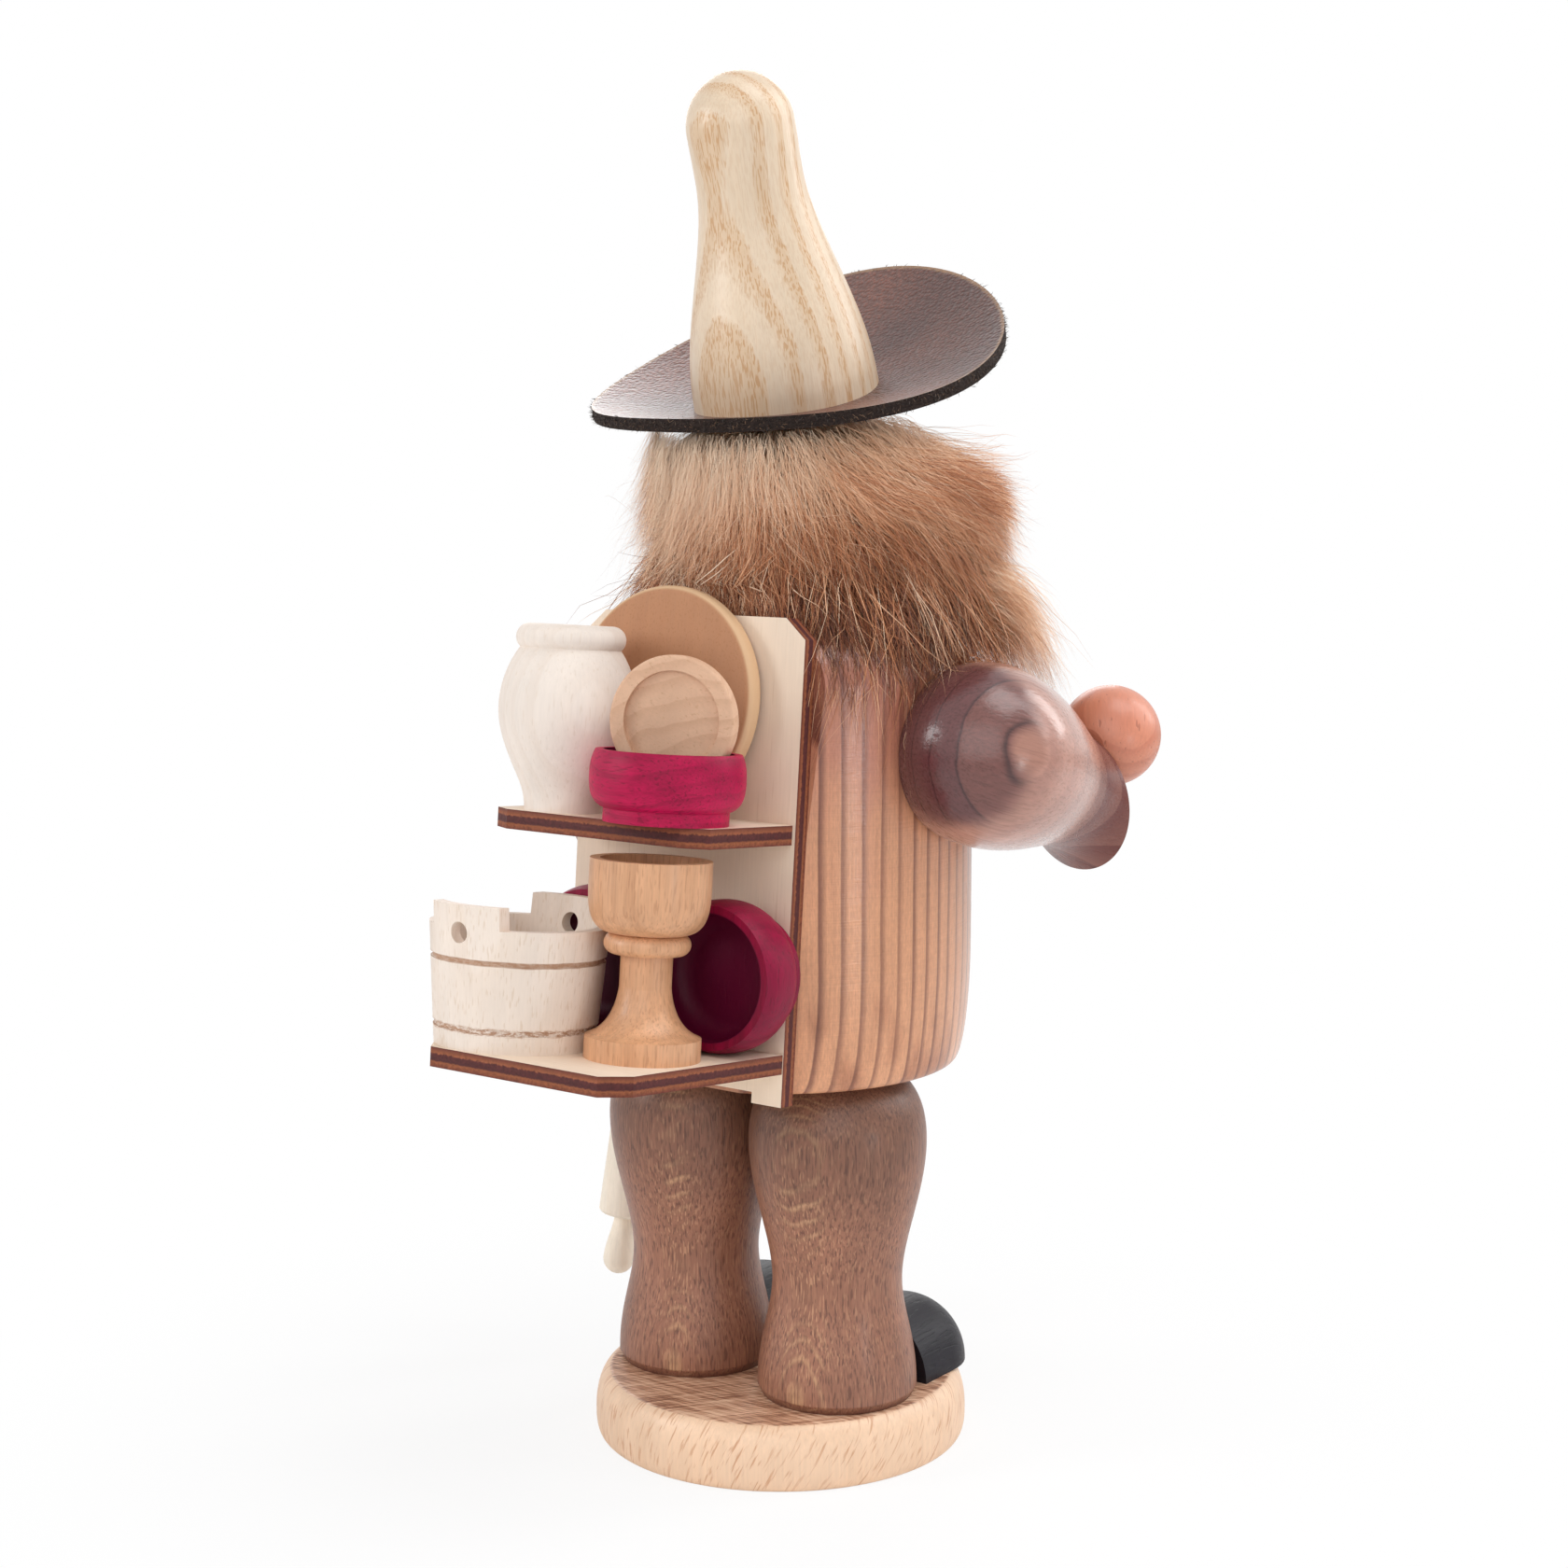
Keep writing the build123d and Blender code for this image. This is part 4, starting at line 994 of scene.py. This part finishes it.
def hair_layers():
    """Layers of the hair, from the undercoat to the soft coat and the loose hairs outside it."""
    # The low hairs' darker tones at turns 25 to 75 are partly the fur's own dark tips and partly painted
    # shade between the strands.
    low = [
        (-140, 33, 143, -3, 40, 127, 0.6), (-100, 31, 143, -3, 37, 128, 0.7),
        (-54, 23.3, 143, 0, 23.4, 137, 0.6), (0, 25, 143, 1, 25.5, 135, 0.7),
        (25, 27.5, 142, 1, 31, 128, 0.84), (45, 30, 141, 1, 35.2, 123, 0.9),
        (75, 32, 141, 0, 34.5, 120, 0.9), (105, 33, 142, 2, 35.5, 121, 0.74),
        (140, 36, 143, 3, 42, 120, 0.36),
    ]
    shade = [(turn, mid - 2.5, 141, 0, tip - 3, end + 6, 0.95) for turn, mid, _, _, tip, end, _ in low]
    strands = [(*row[:6], row[6] - 0.48) for row in low]
    return {
        # The undercoat is toned darker than the top hairs: painted shade.
        "under": layer(3000, 31, (137, 168), [
            (-140, 27, 154, 0, 28, 148, 0.4), (-54, 21.5, 153, 0, 21.5, 147, 0.2),
            (0, 23.5, 153, 0, 23.5, 147, 0.2), (40, 24.5, 153, 4, 24.5, 147, 0.3),
            (80, 27, 153, 8, 29, 148, 0.5), (140, 28, 153, 4, 31, 147, 0.45),
        ], spread=(8, 1.0, 6.0), waver=0.5),
        "shade": layer(2400, 37, (134, 146), shade, vary=0.05, stray=0.4),
        "top": layer(3000, 32, (157, 168), [
            (-140, 28, 164, -6, 31, 153, 0.22), (-100, 27, 164, -8, 29, 152, 0.15),
            (-54, 24.4, 163, -3, 24.6, 151, 0.07), (0, 26.5, 163, 2, 26.5, 149, 0.04),
            (30, 27, 163, 8, 27.5, 150, 0.07), (50, 27, 163, 20, 29, 153, 0.18),
            (80, 26, 162, 24, 33, 155, 0.32), (140, 26, 161, 8, 34, 153, 0.34),
        ], spread=(10, 1.1, 3.4), fade=0.2, vary=0.05, pull=(0.0, 0.2), width=(0.08, 0.13)),
        "sweep": layer(2600, 33, (154, 166), [
            (34, 27.5, 160, 42, 30.5, 152, 0.4), (56, 28.5, 160, 44, 34.5, 151.5, 0.5),
            (90, 30, 159, 30, 36, 151, 0.5), (130, 31, 157, 8, 36, 150, 0.4),
        ], spread=(12, 1.4, 3.6), vary=0.16, pull=(0.1, 0.5), width=(0.08, 0.14)),
        "middle": layer(4200, 34, (146, 159), [
            (-140, 30, 153, -8, 34, 143, 0.42), (-100, 28, 153, -8, 30, 142, 0.42),
            (-54, 22.6, 152, -2, 21.6, 145, 0.34), (0, 25, 152, 2, 24.5, 141, 0.44),
            (30, 27, 152, 5, 28, 140, 0.6), (60, 29, 152, 7, 31.5, 140, 0.7),
            (100, 32, 152, 7, 34, 143, 0.6), (140, 33, 151, 6, 34, 143, 0.42),
        ], spread=(11, 1.5, 3.6), vary=0.14),
        "low": layer(3600, 35, (138, 150), low, spread=(10, 1.5, 3.6), fade=0.2, vary=0.12, stray=1.0),
        "strands": layer(2300, 38, (138, 154), strands, spread=(16, 2.0, 4.5), vary=0.17, clumps=0.3,
                         pull=(0.0, 0.5), stray=1.5, width=(0.11, 0.19)),
        # The coat's foot tones at turns 36 to 90 are darker, partly its own colour and partly painted shade
        # between the strands; the paler foot tone at turn -54 is painted light shining through the edge of
        # the hair.
        "coat": coat(12400, 39, [
            (-140, 17, 23, 26, 33, -16, 0.1, 0.4), (-120, 25, 30, 29.5, 34, -10, 0.08, 0.4),
            (-100, 27, 29.5, 28, 32, -6, 0.04, 0.4), (-54, 25.2, 25.2, 21.6, 23, 4, 0.0, 0.34),
            (-20, 26.2, 26.2, 23.5, 24.5, 9, 0.0, 0.44), (10, 27, 27.4, 25.5, 26.5, 18, 0.02, 0.66),
            (36, 27.2, 28.7, 27.5, 29, 30, 0.05, 0.8), (55, 26.5, 30.7, 29.5, 31, 46, 0.22, 0.84),
            (90, 25, 34.2, 32, 34, 50, 0.26, 0.7), (126, 23, 35.6, 33.8, 38.5, 38, 0.2, 0.3),
            (140, 17, 24, 27, 35, 26, 0.14, 0.22),
        ], (4.5, 9.0), (0.05, 0.085)),
        "loose": layer(1700, 36, (140, 167), [
            (-140, 31, 156, -8, 38, 144, 0.25), (-54, 26.6, 157, -4, 28.6, 145, 0.06),
            (0, 27, 154, 6, 28, 142, 0.15), (50, 29.5, 154, 24, 32, 142, 0.3),
            (100, 32, 154, 14, 36, 144, 0.25), (140, 34, 152, 6, 39.5, 138, 0.15),
        ], spread=(16, 1.3, 6.0), vary=0.12, clumps=0.5, pull=(0.0, 0.2), stray=1.4, width=(0.045, 0.07)),
    }


def clear_of_mouth(hairs):
    """Hairs without those that start in front of the mouth."""
    roots = hairs[0][:, 0]
    front = (np.abs(roots[:, 0]) < MOUTH_HALF) & (roots[:, 1] < HEAD_CENTRE[1]) & (roots[:, 2] > MOUTH_FOOT)
    return tuple(part[~front] for part in hairs)


def beard_layers():
    """Long and short hairs below the face, the same on both sides."""
    half = [
        (104, 37, 144, 4, 43, 127, 0.16), (132, 38.5, 143, 2, 45, 121, 0.08),
        (158, 38, 142, 1, 42, 114, 0.16),
    ]
    rows = half + [(180, 37, 141, 0, 38, 110, 0.22)]
    rows += [(360 - turn, *rest[:2], -rest[2], *rest[3:]) for turn, *rest in reversed(half)]
    short = [(turn, mid - 6, level, sweep, tip - 9, end + 10, tone)
             for turn, mid, level, sweep, tip, end, tone in rows]
    long = layer(5200, 41, (134, 148), rows, spread=(7, 2.0, 4.5), stray=1.0, width=(0.08, 0.14))
    fill = layer(3200, 42, (133, 149), short, spread=(6, 1.8, 4.5))
    return {"long": clear_of_mouth(long), "fill": clear_of_mouth(fill)}


def moustache_layers():
    """Hairs swept outwards from below the nose."""
    sides = {}
    for name, side, seed in (("right", 1, 43), ("left", -1, 44)):
        rows = [
            (180 - side * 3, 24, 150, -side * 24, 26.5, 147.2, 0.18),
            (180 - side * 26, 24, 148, -side * 22, 27, 143, 0.24),
        ]
        rows.sort()
        sides[name] = layer(800, seed, (148.0, 150.5), rows, spread=(3, 0.7, 1.2), stray=0.4)
    return sides


def dress_fur():
    look = fur_look(
        "fur_hair", (0.0, (253, 230, 204)), (0.25, (239, 196, 160)), (0.5, (204, 140, 98)),
        (0.75, (160, 94, 60)), (1.0, (78, 40, 29)),
    )
    parts = {"hair": hair_layers(), "beard": beard_layers(), "moustache": moustache_layers()}
    for part, layers in parts.items():
        for number, (name, hairs) in enumerate(layers.items()):
            strand_piece(f"{part}_{name}", hairs, FUR_SEED + number, look, part + "_fur")


def brim_edge_points(count, rng):
    """Random points on the cut edge of the brim and its direction there, in millimetres."""
    steepest, nearest = 0.6, 24
    inverse = Euler(HAT_FRAME).to_matrix().inverted()
    corners, normals, weights = [], [], []
    mesh = NODES["hat_brim"].data
    for face in mesh.polygons:
        centre = inverse @ (face.center / MM - Vector(HAT_HUB))
        if abs((inverse @ face.normal).z) < steepest and centre.xy.length > nearest:
            corners.append([mesh.vertices[index].co / MM for index in face.vertices[:3]])
            normals.append(face.normal)
            weights.append(face.area)
    chosen = rng.choice(len(corners), count, p=np.array(weights) / sum(weights))
    share = rng.dirichlet((1, 1, 1), count)
    places = (np.array(corners)[chosen] * share[:, :, None]).sum(1)
    return places, np.array(normals)[chosen]


def dress_brim_edge():
    """Short dark fibres along the cut edge of the leather."""
    rng = np.random.default_rng(71)
    count = 2600
    places, normals = brim_edge_points(count, rng)
    way = normals * 0.7 + rng.normal(0, 0.5, (count, 3)) + np.array([0, 0, -0.25])
    way *= (rng.uniform(0.25, 0.9, count) / np.linalg.norm(way, axis=1))[:, None]
    bend = rng.normal(0, 0.12, (count, 1, 3)) * ALONG ** 2
    paths = places[:, None] + way[:, None] * ALONG + bend
    tones = np.repeat(rng.uniform(0, 1, (count, 1)), STEPS, 1)
    look = fur_look("edge_fibre", (0.0, (28, 22, 20)), (0.7, (52, 40, 34)), (1.0, (120, 92, 70)))
    strand_piece("brim_fibres", (paths, tones, rng.uniform(0.07, 0.14, count)), 72, look)


dress_fur()
dress_brim_edge()


# Floor, light and camera, in metres

FIGURE_MIDDLE = Vector((0, 0, 0.11))


def floor_look():
    """White ground that keeps a soft shadow near the figure."""
    look = Look("floor_white")
    ray = look.add("ShaderNodeLightPath").outputs["Is Camera Ray"]
    far = look.vector("LENGTH", look.place()).outputs["Value"]
    share = look.times(ray, look.ease(far, 50, 150, 0.84, 1.0))
    matt = look.add("ShaderNodeBsdfDiffuse", {"Color": (0.9, 0.9, 0.9, 1)}).outputs[0]
    glow = look.add("ShaderNodeEmission", {"Color": (1, 1, 1, 1), "Strength": 1.0}).outputs[0]
    mixed = look.add("ShaderNodeMixShader", {0: share, 1: matt, 2: glow}).outputs[0]
    look.add("ShaderNodeOutputMaterial", {"Surface": mixed})
    return look.material


def make_floor():
    """Square of ground, in metres."""
    half = 3.0
    mesh = bpy.data.meshes.new("floor")
    corners = [(-half, -half, 0), (half, -half, 0), (half, half, 0), (-half, half, 0)]
    mesh.from_pydata(corners, [], [(0, 1, 2, 3)])
    mesh.materials.append(floor_look())
    floor = add_object("floor", mesh)


def soft_box(name, turn, rise, reach, size, power):
    """Soft box at a turn, aimed at the middle of the figure, in metres and watts."""
    lamp = bpy.data.lights.new(name, "AREA")
    lamp.shape = "RECTANGLE"
    lamp.size, lamp.size_y = size
    lamp.energy = power
    holder = add_object(name, lamp)
    angle = math.radians(turn)
    holder.location = (-math.sin(angle) * reach, math.cos(angle) * reach, rise)
    aim = FIGURE_MIDDLE - holder.location
    holder.rotation_euler = aim.to_track_quat("-Z", "Y").to_euler()


def make_world():
    """White room: full white where it is looked at or mirrored, dimmer as a source of light."""
    world = bpy.data.worlds.new("studio")
    bpy.context.scene.world = world
    sky = Nodes(world)
    rays = sky.add("ShaderNodeLightPath").outputs
    seen = sky.math("MAXIMUM", rays["Is Camera Ray"], rays["Is Glossy Ray"])
    seen = sky.math("MAXIMUM", seen, rays["Is Transmission Ray"])
    dim = sky.add("ShaderNodeBackground", {"Color": (0.98, 0.98, 1.0, 1.0), "Strength": 0.4}).outputs[0]
    white = sky.add("ShaderNodeBackground", {"Color": (1, 1, 1, 1), "Strength": 1.0}).outputs[0]
    mixed = sky.add("ShaderNodeMixShader", {0: seen, 1: dim, 2: white}).outputs[0]
    sky.add("ShaderNodeOutputWorld", {"Surface": mixed})


def make_light():
    """Soft boxes round the figure, each with its turn from the camera, rise, reach, size and power."""
    make_world()
    for name, turn, *rest in (
        ("left_box", -76, 0.32, 0.62, (0.2, 0.25), 1.3),
        ("front_box", -8, 0.5, 0.9, (0.9, 0.7), 2.5),
        ("side_box", 43, 0.07, 0.7, (0.1, 0.1), 0.36),
        ("right_box", 84, 0.54, 0.6, (0.16, 0.5), 0.7),
        ("top_box", 60, 0.82, 0.3, (0.42, 0.42), 2.0),
        ("far_box", 112, 0.46, 0.6, (0.18, 0.5), 1.25),
        ("back_box", 184, 0.45, 0.75, (0.5, 0.3), 1.35),
    ):
        soft_box(name, CAMERA_TURN + turn, *rest)


def make_camera():
    """Camera where the photograph was taken from, in metres."""
    camera = bpy.data.cameras.new("camera")
    camera.sensor_width = 36.0
    camera.lens = 60.60
    holder = add_object("camera", camera)
    right = Vector((-0.80932, -0.58737, 0.0))
    up = Vector((0.07591, -0.10459, 0.99161))
    back = Vector((-0.58244, 0.80253, 0.12923))
    turn = Matrix((right, up, back)).transposed()
    holder.matrix_world = Matrix.Translation((-0.25131, 0.34532, 0.16394)) @ turn.to_4x4()
    bpy.context.scene.camera = holder


make_floor()
make_light()
make_camera()
bpy.context.scene.view_settings.view_transform = "Standard"
